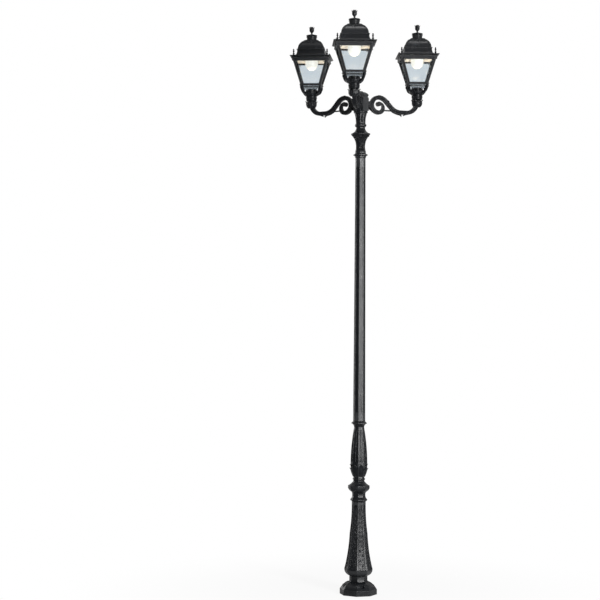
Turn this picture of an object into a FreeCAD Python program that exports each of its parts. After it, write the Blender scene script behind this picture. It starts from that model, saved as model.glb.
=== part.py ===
import FreeCAD, Part
import math
import os

# Triple head street lamp post: an eight-sided cast column on a wide foot carries a hub with three
# S-scroll arms, and each arm carries a four-sided lantern with a hinged roof.
# Millimetres, +Z up, origin at the centre of the foot's underside, front arm towards -Y.
# Widths of eight-sided castings are taken over the arrises, and one arris faces the front.

V = FreeCAD.Vector
UP = V(0, 0, 1)
ORIGIN = V(0, 0, 0)

# ---------------------------------------------------------------- clearances
RUN_GAP = 0.06          # hinge pin in a knuckle that turns on it
PIN_GAP = 0.04          # hinge pin in the knuckles that hold it
SLIP_GAP = 0.3          # castings slipped over a tube, screws in clearance holes
DOOR_GAP = 0.6          # inspection door all round in its window
GLASS_GAP = 0.4         # clear bowl inside its frame

# ---------------------------------------------------------------- core and base
TUBE_D = 48.3           # steel tube through the whole column
TUBE_WALL = 3.2
PLATE_D = 226           # steel base plate that the tube stands on
PLATE_T = 10
CABLE_HOLE_D = 40
ANCHOR_PCD = 200
ANCHOR_COUNT = 4
ANCHOR_HOLE_D = 13
ANCHOR_SEAT_D = 26
ANCHOR_SEAT_Z = 52

# ---------------------------------------------------------------- column castings, bottom to top
SIDES = 8
FOOT_RIM_D = 258
FOOT_RIM_H = 36
FOOT_STEP = 6           # the rim's set-back under the dome
FOOT_SHOULDER_D = 150
FOOT_SHOULDER_Z = 84
FOOT_NECK_D = 126
FOOT_H = 127
FOOT_CAVITY_D = 104

PEDESTAL_H = 507
PEDESTAL_WALL = 7
PEDESTAL_BASE_D = 132
PEDESTAL_BELLY_D = 188
PEDESTAL_BELLY_Z = 62
PEDESTAL_WAIST_D = 124
PEDESTAL_WAIST_Z = 290
PEDESTAL_TOP_D = 97
PEDESTAL_CAP_T = 30     # solid stretch at the top, bored for the tube
PANEL_DEPTH = 2.5
PANEL_FOOT_Z = 46
PANEL_HEAD_Z = 478
PANEL_FOOT_W = 50
PANEL_HEAD_W = 21

DOOR_FACE = 67.5        # direction that the door's face looks, degrees from +X
DOOR_W = 44
DOOR_Z = 92             # door's lower edge above the pedestal's base
DOOR_H = 136
DOOR_BAR_H = 14
DOOR_BAR_T = 8
DOOR_SCREW_D = 6
DOOR_SCREW_L = 16
DOOR_HEAD_D = 13
DOOR_HEAD_T = 4
FUSE_BOX_W = 42
FUSE_BOX_H = 86
FUSE_BOX_REACH = 45     # its front's distance from the column's axis

KNOB_H = 174
KNOB_RING_D = 112
KNOB_RING_Z = 15
KNOB_RING_H = 12
KNOB_WAIST_D = 92
KNOB_WAIST_Z = 50
KNOB_D = 150
KNOB_Z = 104
KNOB_LIP_H = 18
KNOB_HEAD_D = 78
KNOB_HEAD_Z = 143
BEAD_D = 84
BEAD_Z = 158
BEAD_H = 12

VASE_H = 384
VASE_FOOT_D = 76
VASE_BELLY_D = 116
VASE_BELLY_Z = 90
VASE_NECK_D = 70
VASE_NECK_Z = 340
VASE_RING_D = 108
VASE_RING_Z = 370
FLUTE_DEPTH = 3
VASE_FLUTE_FOOT_Z = 78
VASE_FLUTE_HEAD_Z = 318
VASE_FLUTE_FOOT_W = 26
VASE_FLUTE_HEAD_W = 14
LEAF_RISE = 3.5         # leaves round the vase's foot stand this far off it
LEAF_W = 30
LEAF_FOOT_Z = 14
LEAF_TIP_Z = 112

SHAFT_H = 1810
SHAFT_FOOT_D = 84
SHAFT_HEAD_D = 70
SHAFT_BORE_D = 56
SHAFT_FLUTE_W = 17
SHAFT_FLUTE_DEPTH = 2
SHAFT_FLUTE_END = 70    # plain length at each end of the shaft
SPIGOT_H = 12           # tongue on the castings above and below, inside the shaft

RING_H = 34
RING_D = 101
RING_EDGE_H = 5
RING_FOOT_D = 78

CAPITAL_H = 172
CAPITAL_FOOT_D = 74
CAPITAL_WAIST_D = 69
CAPITAL_WAIST_Z = 20
CAPITAL_LIP_D = 130
CAPITAL_LIP_Z = 128
CAPITAL_LIP_H = 9
CAPITAL_NECK_D = 62
CAPITAL_FLUTE_FOOT_Z = 28
CAPITAL_FLUTE_HEAD_Z = 104
CAPITAL_FLUTE_W = 17
CAPITAL_FLUTE_DEPTH = 2

NECK_H = 118
NECK_RING_D = 76
NECK_RING_Z = 10
NECK_RING_H = 22
NECK_WAIST_D = 68
NECK_HEAD_D = 86
NECK_BAND_D = 94
NECK_BAND_H = 12

# ---------------------------------------------------------------- hub, arms and cups
ARM_ANGLES = {"front": -90, "right": 30, "left": 150}
HUB_SIDES = 6
HUB_H = 112
HUB_FLAT_R = 43         # hub's axis to each arm's seat
HUB_LIP_H = 9
HUB_LIP_R = 47
HUB_BORE_DEPTH = 92     # how far the core tube reaches up into the hub
CAP_H = 26
CAP_LIP_R = 46
CAP_LIP_H = 5
CAP_PLUG_L = 10         # plug that goes down into the hub's cable hole
CAP_TOP_R = 12

ARM_REACH = 430         # column's axis to lantern's axis
ARM_CENTRE_Z = 50       # scroll's centre above the hub's underside
ARM_W = 27
SCROLL_X = 134          # column's axis to the scroll's centre
SCROLL_R = 66           # outer radius of the scroll
BAR_T = 28
BAR_DROP = 46           # degrees that the bar turns down before it swings up
BAR_TOP_R = 75
BAR_BOTTOM_R = 100
BAR_SLOPE_L = 59
BAR_CUP_R = 84
GROOVE_T = 12
GROOVE_DEPTH = 3
STRAND_R = 44           # second turn of the scroll, outside
STRAND_HOLLOW_R = 26
BOSS_R = 16
BOSS_PROUD = 3
LINK_T = 9
LINK_DROP = 36          # link's middle under the scroll's centre
FLANGE_T = 8
FLANGE_H = 92
FLANGE_W = 42
BLOCK_H = 44
ARM_BOLT_D = 10
ARM_BOLT_L = 26
ARM_BOLT_Z = 35         # bolts above and below the scroll's centre
ARM_BOLT_HEAD_W = 16
ARM_BOLT_HEAD_T = 7

CUP_H = 66
CUP_FOOT_D = 40
CUP_WAIST_D = 58
CUP_TOP_D = 74
CUP_LIP_H = 12
SPIGOT_D = 60
SPIGOT_L = 60
SPIGOT_BORE_D = 44
SPIGOT_BORE_DEPTH = 82

# ---------------------------------------------------------------- lantern, heights above its collar's foot
LANTERN_TURN = {"front": 9, "right": 9, "left": 3}    # degrees that each lantern is turned
COLLAR_D = 76
COLLAR_H = 25
COLLAR_TUBE_D = 67
COLLAR_TUBE_H = 67
SET_SCREW_D = 8
SET_SCREW_L = 9
SET_SCREW_Z = 12
SOCKET_DEPTH = 3
SET_SCREW_COUNT = 3
FIN_W = 4
FIN_REACH = 40
BOWL_R = 57             # saddle between the cradle's arms
BOWL_Z = 50
SADDLE_R = 32
SADDLE_Z = 68
CRADLE_ARM_T = 14
CRADLE_ARM_W = 15
CRADLE_START_Z = 24
CRADLE_RISE = 25        # degrees that the arms climb as they leave the collar
CRADLE_BEND_R = 38
CRADLE_STEEP = 66       # degrees that they climb after their bend
KNUCKLE_D = 19
KNUCKLE_H = 16

FRAME_FOOT_Z = 87
FRAME_HEAD_Z = 279
FRAME_FOOT_HALF = 68
FRAME_HEAD_HALF = 125
FRAME_WALL = 8
FRAME_BAR_W = 17
LOWER_RAIL_H = 15
LOWER_RAIL_PROUD = 3
UPPER_RAIL_H = 24
UPPER_RAIL_PROUD = 4
REED_T = 2

GLASS_T = 3
GLASS_FOOT_Z = 67
GLASS_FLANGE_T = 2
GASKET_T = 3
GASKET_W = 8

EAVE_HALF = 143
EAVE_T = 8
EAVE_BEVEL = 9
SKIRT_HALF = 103
SKIRT_TOP_HALF = 95
SKIRT_H = 49
DOME_HALF = 89
DOME_H = 72
DOME_TOP_HALF = 53
DOME_BULGE = 9
DOME_CROWN_H = 9        # low crown between the dome's shoulders and its pipe
ROOF_WALL = 4
RIB_PROUD = 3
RIB_W = 9
NECK_PIPE_D = 69
NECK_PIPE_H = 22
LID_D = 76
LID_H = 14
LID_DOME_H = 6
TULIP_STEM_D = 14
TULIP_D = 40
TULIP_H = 57
PETALS = 6
PETAL_SLIT = 3
PETAL_T = 7
SPIRE_SPACING = 234
SPIRE_H = 46
SPIRE_D = 15

PAN_HALF = 107
PAN_T = 2.5
PAN_DEPTH = 19          # tray under the eave plate, its flat side down
PAN_TAPER = 4
PAN_WELL_D = 108
PAN_WELL_H = 16
HOLDER_D = 48
HOLDER_H = 34
HOLDER_FLOOR = 8
BULB_D = 88
BULB_BOTTOM_Z = 202
BULB_SHOULDER_Z = 268
BULB_NECK_D = 36
BULB_BASE_D = 26.4

HINGE_Y = 137
HINGE_DROP = 8          # pin's axis under the eave plate
KNUCKLE_R = 5.5
HINGE_PIN_D = 5
ROOF_KNUCKLE_L = 43
FRAME_KNUCKLE_L = 18
KNUCKLE_SPACE = 0.5

# ---------------------------------------------------------------- heights that follow
PEDESTAL_Z = FOOT_H
KNOB_BASE_Z = PEDESTAL_Z + PEDESTAL_H
VASE_Z = KNOB_BASE_Z + KNOB_H
SHAFT_Z = VASE_Z + VASE_H
RING_Z = SHAFT_Z + SHAFT_H
CAPITAL_Z = RING_Z + RING_H
NECK_Z = CAPITAL_Z + CAPITAL_H
HUB_Z = NECK_Z + NECK_H
CAP_Z = HUB_Z + HUB_H
TUBE_TOP_Z = HUB_Z + HUB_BORE_DEPTH
ARM_Z = HUB_Z + ARM_CENTRE_Z
CUP_TOP_Z = ARM_Z + SCROLL_R

GASKET_Z = FRAME_HEAD_Z + GLASS_FLANGE_T
EAVE_Z = GASKET_Z + GASKET_T
SKIRT_Z = EAVE_Z + EAVE_T
DOME_Z = SKIRT_Z + SKIRT_H
PIPE_Z = DOME_Z + DOME_H
LID_Z = PIPE_Z + NECK_PIPE_H
TULIP_Z = LID_Z + LID_H + LID_DOME_H
HINGE_Z = EAVE_Z - HINGE_DROP
PAN_Z = EAVE_Z - PAN_DEPTH
WELL_TOP_Z = PAN_Z + PAN_WELL_H


# ---------------------------------------------------------------- ways of making
def turned_by(shape, degrees):
    """A copy turned about the Z axis."""
    copy = shape.copy()
    copy.rotate(ORIGIN, UP, degrees)
    return copy


def around(shape, count, start=0.0):
    """Copies of a shape spaced evenly about the Z axis."""
    return [turned_by(shape, start + 360.0 * i / count) for i in range(count)]


def joined(shapes):
    """One solid from shapes that touch or overlap."""
    return shapes[0].multiFuse(shapes[1:]).removeSplitter()


def edge(a, b, bow=0.0):
    """A straight edge in the XZ plane, or an arc that bows to the right of its way by so many mm."""
    if bow == 0:
        return Part.makeLine(a, b)
    way = b.sub(a)
    right = V(way.z, 0, -way.x).normalize()
    middle = a.add(b).multiply(0.5).add(right.multiply(bow))
    return Part.Arc(a, middle, b).toShape()


def outline(points):
    """Closed face in the XZ plane; a third number bows the stretch that leads to its point."""
    corners = [V(p[0], 0, p[1]) for p in points]
    bows = [p[2] if len(p) > 2 else 0.0 for p in points]
    edges = [edge(corners[i - 1], corners[i], bows[i]) for i in range(1, len(points))]
    edges.append(edge(corners[-1], corners[0], bows[0]))
    return Part.Face(Part.Wire(edges))


def turned(points):
    """A turned solid from an outline of (radius, height) points."""
    return outline(points).revolve(ORIGIN, UP, 360)


def faceted(side, sides, start=0.0):
    """A solid whose plan is a regular polygon; side lists (distance of the flats, height), bottom up."""
    mirrored = [(-side[-1][0], side[-1][1])]
    for i in range(len(side) - 1, 0, -1):
        bow = side[i][2] if len(side[i]) > 2 else 0.0
        mirrored.append((-side[i - 1][0], side[i - 1][1], bow))
    reach = 2.0 * max(p[0] for p in side)
    slab = outline(list(side) + mirrored).extrude(V(0, 2 * reach, 0))
    slab.translate(V(0, -reach, 0))
    solid = turned_by(slab, start)
    for i in range(1, sides // 2):
        solid = solid.common(turned_by(slab, start + 360.0 * i / sides))
    return solid


def over_arrises(points):
    """Side of an eight-sided casting from (width over the arrises, height) points."""
    flat = 0.5 * math.cos(math.pi / SIDES)
    return [(p[0] * flat,) + tuple(p[1:]) for p in points]


def octagonal(points):
    """Eight-sided solid with an arris to the front."""
    return faceted(over_arrises(points), SIDES, 180.0 / SIDES)


def shifted(points, by):
    """The same side, moved outwards."""
    return [(p[0] + by,) + tuple(p[1:]) for p in points]


def tablet(foot_z, head_z, foot_w, head_w, reach, foot_bow, head_bow):
    """Upright prism along +X with a bowed foot and head, for sinking or raising a panel."""
    face = outline([
        (-foot_w / 2, foot_z),
        (foot_w / 2, foot_z, foot_bow),
        (head_w / 2, head_z),
        (-head_w / 2, head_z, head_bow),
    ])
    face.rotate(ORIGIN, UP, 90)
    return face.extrude(V(reach, 0, 0))


def with_panels(points, depth, panel):
    """Eight-sided solid with the same panel sunk into each face."""
    body = octagonal(points)
    core = octagonal(shifted(points, -2 * depth))
    panels = around(panel, SIDES, 180.0 / SIDES)
    return core.fuse(body.cut(panels)).removeSplitter()


def bore(diameter, foot_z, head_z):
    return Part.makeCylinder(diameter / 2, head_z - foot_z, V(0, 0, foot_z))


def bar_face(start, heading, steps, thickness):
    """Flat face of a bent bar in the XZ plane; steps are ("line", length) or (radius, degrees)."""
    half = thickness / 2
    x, z = start
    angle = math.radians(heading)
    left, right = [], []

    def offset(px, pz, a, side):
        return V(px - side * math.sin(a), 0, pz + side * math.cos(a))

    first = (offset(x, z, angle, half), offset(x, z, angle, -half))
    for step in steps:
        before = (x, z, angle)
        if step[0] == "line":
            x += step[1] * math.cos(angle)
            z += step[1] * math.sin(angle)
            for chain, side in ((left, half), (right, -half)):
                chain.append(Part.makeLine(offset(*before, side), offset(x, z, angle, side)))
            continue
        radius, turn = step[0], math.radians(step[1])
        hand = math.copysign(1.0, turn)
        cx = x - hand * radius * math.sin(angle)
        cz = z + hand * radius * math.cos(angle)
        places = []
        for share in (0.5, 1.0):
            a = angle + turn * share
            places.append((cx + hand * radius * math.sin(a), cz - hand * radius * math.cos(a), a))
        for chain, side in ((left, half), (right, -half)):
            chain.append(Part.Arc(offset(*before, side), offset(*places[0], side),
                                  offset(*places[1], side)).toShape())
        x, z, angle = places[1]
    last = (offset(x, z, angle, half), offset(x, z, angle, -half))
    edges = left + [Part.makeLine(last[0], last[1])] + right[::-1] + [Part.makeLine(first[1], first[0])]
    return Part.Face(Part.Wire(Part.sortEdges(edges)[0]))


def slab_of(face, width):
    """A flat XZ face made a plate centred on the XZ plane."""
    plate = face.extrude(V(0, width, 0))
    plate.translate(V(0, -width / 2, 0))
    return plate


# ---------------------------------------------------------------- base and core
def anchor_holes(diameter, foot_z, head_z):
    hole = Part.makeCylinder(diameter / 2, head_z - foot_z, V(ANCHOR_PCD / 2, 0, foot_z))
    return around(hole, ANCHOR_COUNT, 180.0 / SIDES)


def base_plate():
    plate = bore(PLATE_D, 0, PLATE_T)
    return plate.cut([bore(CABLE_HOLE_D, 0, PLATE_T)] + anchor_holes(ANCHOR_HOLE_D, 0, PLATE_T))


def core_tube():
    return bore(TUBE_D, PLATE_T, TUBE_TOP_Z).cut(bore(TUBE_D - 2 * TUBE_WALL, PLATE_T, TUBE_TOP_Z))


def foot():
    body = octagonal([
        (FOOT_RIM_D, 0),
        (FOOT_RIM_D, FOOT_RIM_H),
        (FOOT_RIM_D - FOOT_STEP, FOOT_RIM_H + FOOT_STEP / 2),
        (FOOT_SHOULDER_D, FOOT_SHOULDER_Z, 6),
        (FOOT_NECK_D, FOOT_SHOULDER_Z + 6, -3),
        (FOOT_NECK_D, FOOT_H),
    ])
    cuts = [bore(PLATE_D + 2 * SLIP_GAP, 0, PLATE_T), bore(FOOT_CAVITY_D, 0, FOOT_H)]
    cuts += anchor_holes(ANCHOR_HOLE_D, 0, FOOT_H)
    cuts += anchor_holes(ANCHOR_SEAT_D, ANCHOR_SEAT_Z, FOOT_H)
    return body.cut(cuts)


# ---------------------------------------------------------------- pedestal and its door
def pedestal_side():
    return [
        (PEDESTAL_BASE_D, 0),
        (PEDESTAL_BELLY_D, PEDESTAL_BELLY_Z, 14),
        (PEDESTAL_WAIST_D, PEDESTAL_WAIST_Z, -5),
        (PEDESTAL_TOP_D, PEDESTAL_H, -4),
    ]


def pedestal_wall():
    panel = tablet(PANEL_FOOT_Z, PANEL_HEAD_Z, PANEL_FOOT_W, PANEL_HEAD_W, PEDESTAL_BELLY_D,
                   4, PANEL_HEAD_W / 2)
    body = with_panels(pedestal_side(), PANEL_DEPTH, panel)
    inside = octagonal(shifted(pedestal_side(), -2 * PEDESTAL_WALL))
    inside = inside.common(bore(2 * PEDESTAL_BELLY_D, 0, PEDESTAL_H - PEDESTAL_CAP_T))
    body = body.cut([inside, bore(TUBE_D + 2 * SLIP_GAP, 0, PEDESTAL_H)])
    return body


def door_prism(gap):
    half = DOOR_W / 2 - gap
    prism = Part.makeBox(PEDESTAL_BELLY_D, 2 * half, DOOR_H - 2 * gap, V(TUBE_D, -half, DOOR_Z + gap))
    return turned_by(prism, DOOR_FACE)


def flat_distance(height):
    """The pedestal's axis to the middle of a flat at a height, found on its own side."""
    side = outline([(0, 0)] + over_arrises(pedestal_side()) + [(0, PEDESTAL_H)])
    ray = Part.makeLine(V(0, 0, height), V(PEDESTAL_BELLY_D, 0, height))
    return side.common(ray).BoundBox.XMax


def door_screw_place():
    """(distance of the screw head's seat, height), on the door's middle."""
    height = DOOR_Z + DOOR_H / 2
    return flat_distance(height) - PANEL_DEPTH - DOOR_HEAD_T, height


def along_face(diameter, start, end, height):
    """A cylinder square to the door's face."""
    pin = Part.makeCylinder(diameter / 2, end - start, V(start, 0, height), V(1, 0, 0))
    return turned_by(pin, DOOR_FACE)


def door_bar():
    """Cross bar behind the door that takes its screw, tied into the wall at both sides."""
    seat, height = door_screw_place()
    front = flat_distance(height + DOOR_BAR_H / 2) - PEDESTAL_WALL - SLIP_GAP
    length = DOOR_W + 2 * PEDESTAL_WALL
    low = height - DOOR_BAR_H / 2
    parts = [Part.makeBox(DOOR_BAR_T, length, DOOR_BAR_H, V(front - DOOR_BAR_T, -length / 2, low))]
    for side in (-1, 1):
        left = side * (DOOR_W / 2 + PEDESTAL_WALL / 2) - PEDESTAL_WALL / 2
        parts.append(Part.makeBox(DOOR_BAR_T + PEDESTAL_WALL / 2, PEDESTAL_WALL, DOOR_BAR_H,
                                  V(front - DOOR_BAR_T, left, low)))
    return turned_by(joined(parts), DOOR_FACE)


def pedestal():
    wall = pedestal_wall()
    seat, height = door_screw_place()
    body = joined([wall.cut(door_prism(0)), door_bar()])
    body = body.cut(along_face(DOOR_SCREW_D + 2 * SLIP_GAP, TUBE_D, seat, height))
    body.translate(V(0, 0, PEDESTAL_Z))
    return body


def access_door():
    seat, height = door_screw_place()
    door = pedestal_wall().common(door_prism(DOOR_GAP))
    door = door.cut([
        along_face(DOOR_SCREW_D + 2 * SLIP_GAP, TUBE_D, 2 * seat, height),
        along_face(DOOR_HEAD_D + 2 * SLIP_GAP, seat, 2 * seat, height),
    ])
    door.translate(V(0, 0, PEDESTAL_Z))
    return door


def door_screw():
    seat, height = door_screw_place()
    screw = along_face(DOOR_HEAD_D, seat, seat + DOOR_HEAD_T, height)
    screw = screw.fuse(along_face(DOOR_SCREW_D, seat - DOOR_SCREW_L, seat, height)).removeSplitter()
    screw.translate(V(0, 0, PEDESTAL_Z))
    return screw


def fuse_box():
    middle = PEDESTAL_Z + DOOR_Z + DOOR_H / 2
    box = Part.makeBox(FUSE_BOX_REACH, FUSE_BOX_W, FUSE_BOX_H,
                       V(0, -FUSE_BOX_W / 2, middle - FUSE_BOX_H / 2))
    box = turned_by(box, DOOR_FACE)
    return box.cut(bore(TUBE_D + SLIP_GAP, 0, SHAFT_Z))


# ---------------------------------------------------------------- column above the pedestal
def knob():
    body = octagonal([
        (PEDESTAL_TOP_D, 0),
        (KNOB_RING_D, KNOB_RING_Z - KNOB_RING_H / 2, -1.5),
        (KNOB_RING_D, KNOB_RING_Z + KNOB_RING_H / 2, 3),
        (KNOB_WAIST_D, KNOB_WAIST_Z, -3),
        (KNOB_WAIST_D + 12, KNOB_Z - 34, -2),
        (KNOB_D, KNOB_Z - KNOB_LIP_H / 2, 3),
        (KNOB_D, KNOB_Z + KNOB_LIP_H / 2),
        (KNOB_HEAD_D, KNOB_HEAD_Z, -3),
        (KNOB_HEAD_D, BEAD_Z - BEAD_H / 2),
        (BEAD_D, BEAD_Z - BEAD_H / 2 + 1),
        (BEAD_D, BEAD_Z + BEAD_H / 2 - 1, 1.5),
        (KNOB_HEAD_D, BEAD_Z + BEAD_H / 2),
        (VASE_FOOT_D, KNOB_H),
    ])
    body = body.cut(bore(TUBE_D + 2 * SLIP_GAP, 0, KNOB_H))
    body.translate(V(0, 0, KNOB_BASE_Z))
    return body


def vase_side():
    return [
        (VASE_FOOT_D, 0),
        (VASE_BELLY_D, VASE_BELLY_Z, 6),
        (VASE_NECK_D, VASE_NECK_Z, 5),
        (VASE_RING_D, VASE_RING_Z - 4, -5),
        (VASE_RING_D, VASE_RING_Z + 1),
        (SHAFT_FOOT_D, VASE_H, -2),
    ]


def vase():
    flute = tablet(VASE_FLUTE_FOOT_Z, VASE_FLUTE_HEAD_Z, VASE_FLUTE_FOOT_W, VASE_FLUTE_HEAD_W,
                   VASE_BELLY_D, VASE_FLUTE_FOOT_W / 2, VASE_FLUTE_HEAD_W / 2)
    body = with_panels(vase_side(), FLUTE_DEPTH, flute)
    tip = outline([
        (-LEAF_W / 3, LEAF_FOOT_Z),
        (LEAF_W / 3, LEAF_FOOT_Z),
        (LEAF_W / 2, VASE_BELLY_Z - LEAF_FOOT_Z),
        (0, LEAF_TIP_Z, 2),
        (-LEAF_W / 2, VASE_BELLY_Z - LEAF_FOOT_Z, 2),
    ])
    tip.rotate(ORIGIN, UP, 90)
    leaf = tip.extrude(V(VASE_BELLY_D, 0, 0))
    raised = octagonal(shifted(vase_side(), 2 * LEAF_RISE))
    leaves = [raised.common(one) for one in around(leaf, SIDES, 180.0 / SIDES)]
    tongue = bore(SHAFT_BORE_D - 2 * SLIP_GAP, VASE_H - 1, VASE_H + SPIGOT_H)
    body = joined([body, tongue] + leaves)
    body = body.cut(bore(TUBE_D + 2 * SLIP_GAP, 0, VASE_H + SPIGOT_H))
    body.translate(V(0, 0, VASE_Z))
    return body


def shaft():
    side = [(SHAFT_FOOT_D, 0), (SHAFT_HEAD_D, SHAFT_H)]
    flute = tablet(SHAFT_FLUTE_END, SHAFT_H - SHAFT_FLUTE_END, SHAFT_FLUTE_W, SHAFT_FLUTE_W,
                   SHAFT_FOOT_D, SHAFT_FLUTE_W / 2, SHAFT_FLUTE_W / 2)
    body = with_panels(side, SHAFT_FLUTE_DEPTH, flute).cut(bore(SHAFT_BORE_D, 0, SHAFT_H))
    body.translate(V(0, 0, SHAFT_Z))
    return body


def shaft_ring():
    body = octagonal([
        (SHAFT_HEAD_D, 0),
        (RING_FOOT_D, 6, -1),
        (RING_FOOT_D, 14),
        (RING_D, 20),
        (RING_D, 20 + RING_EDGE_H),
        (CAPITAL_FOOT_D, RING_H, -1),
    ])
    tongue = bore(SHAFT_BORE_D - 2 * SLIP_GAP, -SPIGOT_H, 1)
    body = joined([body, tongue]).cut(bore(TUBE_D + 2 * SLIP_GAP, -SPIGOT_H, RING_H))
    body.translate(V(0, 0, RING_Z))
    return body


def capital():
    side = [
        (CAPITAL_FOOT_D, 0),
        (CAPITAL_FOOT_D, 12),
        (CAPITAL_WAIST_D, CAPITAL_WAIST_Z),
        (CAPITAL_LIP_D, CAPITAL_LIP_Z, -14),
        (CAPITAL_LIP_D, CAPITAL_LIP_Z + CAPITAL_LIP_H, 2),
        (CAPITAL_NECK_D, CAPITAL_H, -7),
    ]
    flute = tablet(CAPITAL_FLUTE_FOOT_Z, CAPITAL_FLUTE_HEAD_Z, CAPITAL_FLUTE_W, CAPITAL_FLUTE_W,
                   CAPITAL_LIP_D, CAPITAL_FLUTE_W / 2, CAPITAL_FLUTE_W / 2)
    body = with_panels(side, CAPITAL_FLUTE_DEPTH, flute).cut(bore(TUBE_D + 2 * SLIP_GAP, 0, CAPITAL_H))
    body.translate(V(0, 0, CAPITAL_Z))
    return body


def neck():
    side = [
        (CAPITAL_NECK_D, 0),
        (NECK_RING_D - 8, NECK_RING_Z, -1),
        (NECK_RING_D, NECK_RING_Z + 4),
        (NECK_RING_D, NECK_RING_Z + NECK_RING_H - 4, 2),
        (NECK_WAIST_D, NECK_RING_Z + NECK_RING_H, -1),
        (NECK_HEAD_D, NECK_H - NECK_BAND_H - 2, -3),
        (NECK_BAND_D, NECK_H - NECK_BAND_H),
        (NECK_BAND_D, NECK_H - 2, 2),
        (NECK_BAND_D - 4, NECK_H),
    ]
    body = octagonal(side).cut(bore(TUBE_D + 2 * SLIP_GAP, 0, NECK_H))
    body.translate(V(0, 0, NECK_Z))
    return body


# ---------------------------------------------------------------- hub and arms
def bolt_places():
    return [ARM_CENTRE_Z + side * ARM_BOLT_Z for side in (-1, 1)]


def hub():
    block = faceted([
        (HUB_FLAT_R, 0),
        (HUB_FLAT_R, HUB_H - HUB_LIP_H),
        (HUB_LIP_R, HUB_H - HUB_LIP_H + 3, -1),
        (HUB_LIP_R, HUB_H),
    ], HUB_SIDES, ARM_ANGLES["front"])
    cuts = [bore(TUBE_D + 2 * SLIP_GAP, 0, HUB_BORE_DEPTH), bore(CABLE_HOLE_D, 0, HUB_H)]
    for angle in ARM_ANGLES.values():
        for height in bolt_places():
            hole = Part.makeCylinder((ARM_BOLT_D + SLIP_GAP) / 2, HUB_FLAT_R, V(TUBE_D / 2, 0, height),
                                     V(1, 0, 0))
            cuts.append(turned_by(hole, angle))
    body = block.cut(cuts)
    body.translate(V(0, 0, HUB_Z))
    return body


def hub_cap():
    cap = faceted([
        (CAP_LIP_R, 0),
        (CAP_LIP_R, CAP_LIP_H),
        (CAP_LIP_R - 4, CAP_LIP_H + 3),
        (CAP_TOP_R, CAP_H - 4, 3),
        (CAP_TOP_R, CAP_H),
    ], HUB_SIDES, ARM_ANGLES["front"])
    plug = bore(CABLE_HOLE_D - 2 * SLIP_GAP, -CAP_PLUG_L, 1)
    cap = joined([cap, plug])
    cap.translate(V(0, 0, CAP_Z))
    return cap


def half_disc(radius, centre_z, side):
    """Half a disc in the XZ plane beside the scroll's centre line, towards the column or away."""
    return outline([
        (SCROLL_X, centre_z - side * radius),
        (SCROLL_X, centre_z + side * radius, radius),
    ])


def scroll(width, trim):
    """The scroll's two turns as a plate; trim thins the strip from both edges."""
    inner = SCROLL_R - BAR_T
    strand_z = STRAND_R - SCROLL_R
    hollow_z = STRAND_HOLLOW_R - inner
    outer_turn = half_disc(SCROLL_R - trim, 0, -1).cut(half_disc(inner + trim, 0, -1))
    second_turn = half_disc(STRAND_R - trim, strand_z, 1).cut(half_disc(STRAND_HOLLOW_R + trim, hollow_z, 1))
    return [slab_of(face, width) for face in (outer_turn, second_turn)]


def bar_steps():
    drop = (BAR_TOP_R + BAR_BOTTOM_R) * math.sin(math.radians(BAR_DROP))
    run = BAR_SLOPE_L * math.cos(math.radians(BAR_DROP))
    flat = ARM_REACH - SCROLL_X - BAR_CUP_R - drop - run
    return [
        (BAR_TOP_R, -BAR_DROP),
        ("line", BAR_SLOPE_L),
        (BAR_BOTTOM_R, BAR_DROP),
        ("line", flat),
        (BAR_CUP_R, 90),
    ]


def cup():
    """Turned cup and hollow spigot at the arm's end, on the lantern's axis."""
    top = CUP_TOP_Z - ARM_Z
    body = turned([
        (0, top - CUP_H),
        (CUP_FOOT_D / 2, top - CUP_H),
        (CUP_WAIST_D / 2, top - CUP_H + 18, 3),
        (CUP_WAIST_D / 2, top - CUP_LIP_H - 6),
        (CUP_TOP_D / 2, top - CUP_LIP_H),
        (CUP_TOP_D / 2, top),
        (SPIGOT_D / 2, top),
        (SPIGOT_D / 2, top + SPIGOT_L),
        (0, top + SPIGOT_L),
    ])
    body = body.cut(bore(SPIGOT_BORE_D, top + SPIGOT_L - SPIGOT_BORE_DEPTH, top + SPIGOT_L))
    body.translate(V(ARM_REACH, 0, 0))
    return body


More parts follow.
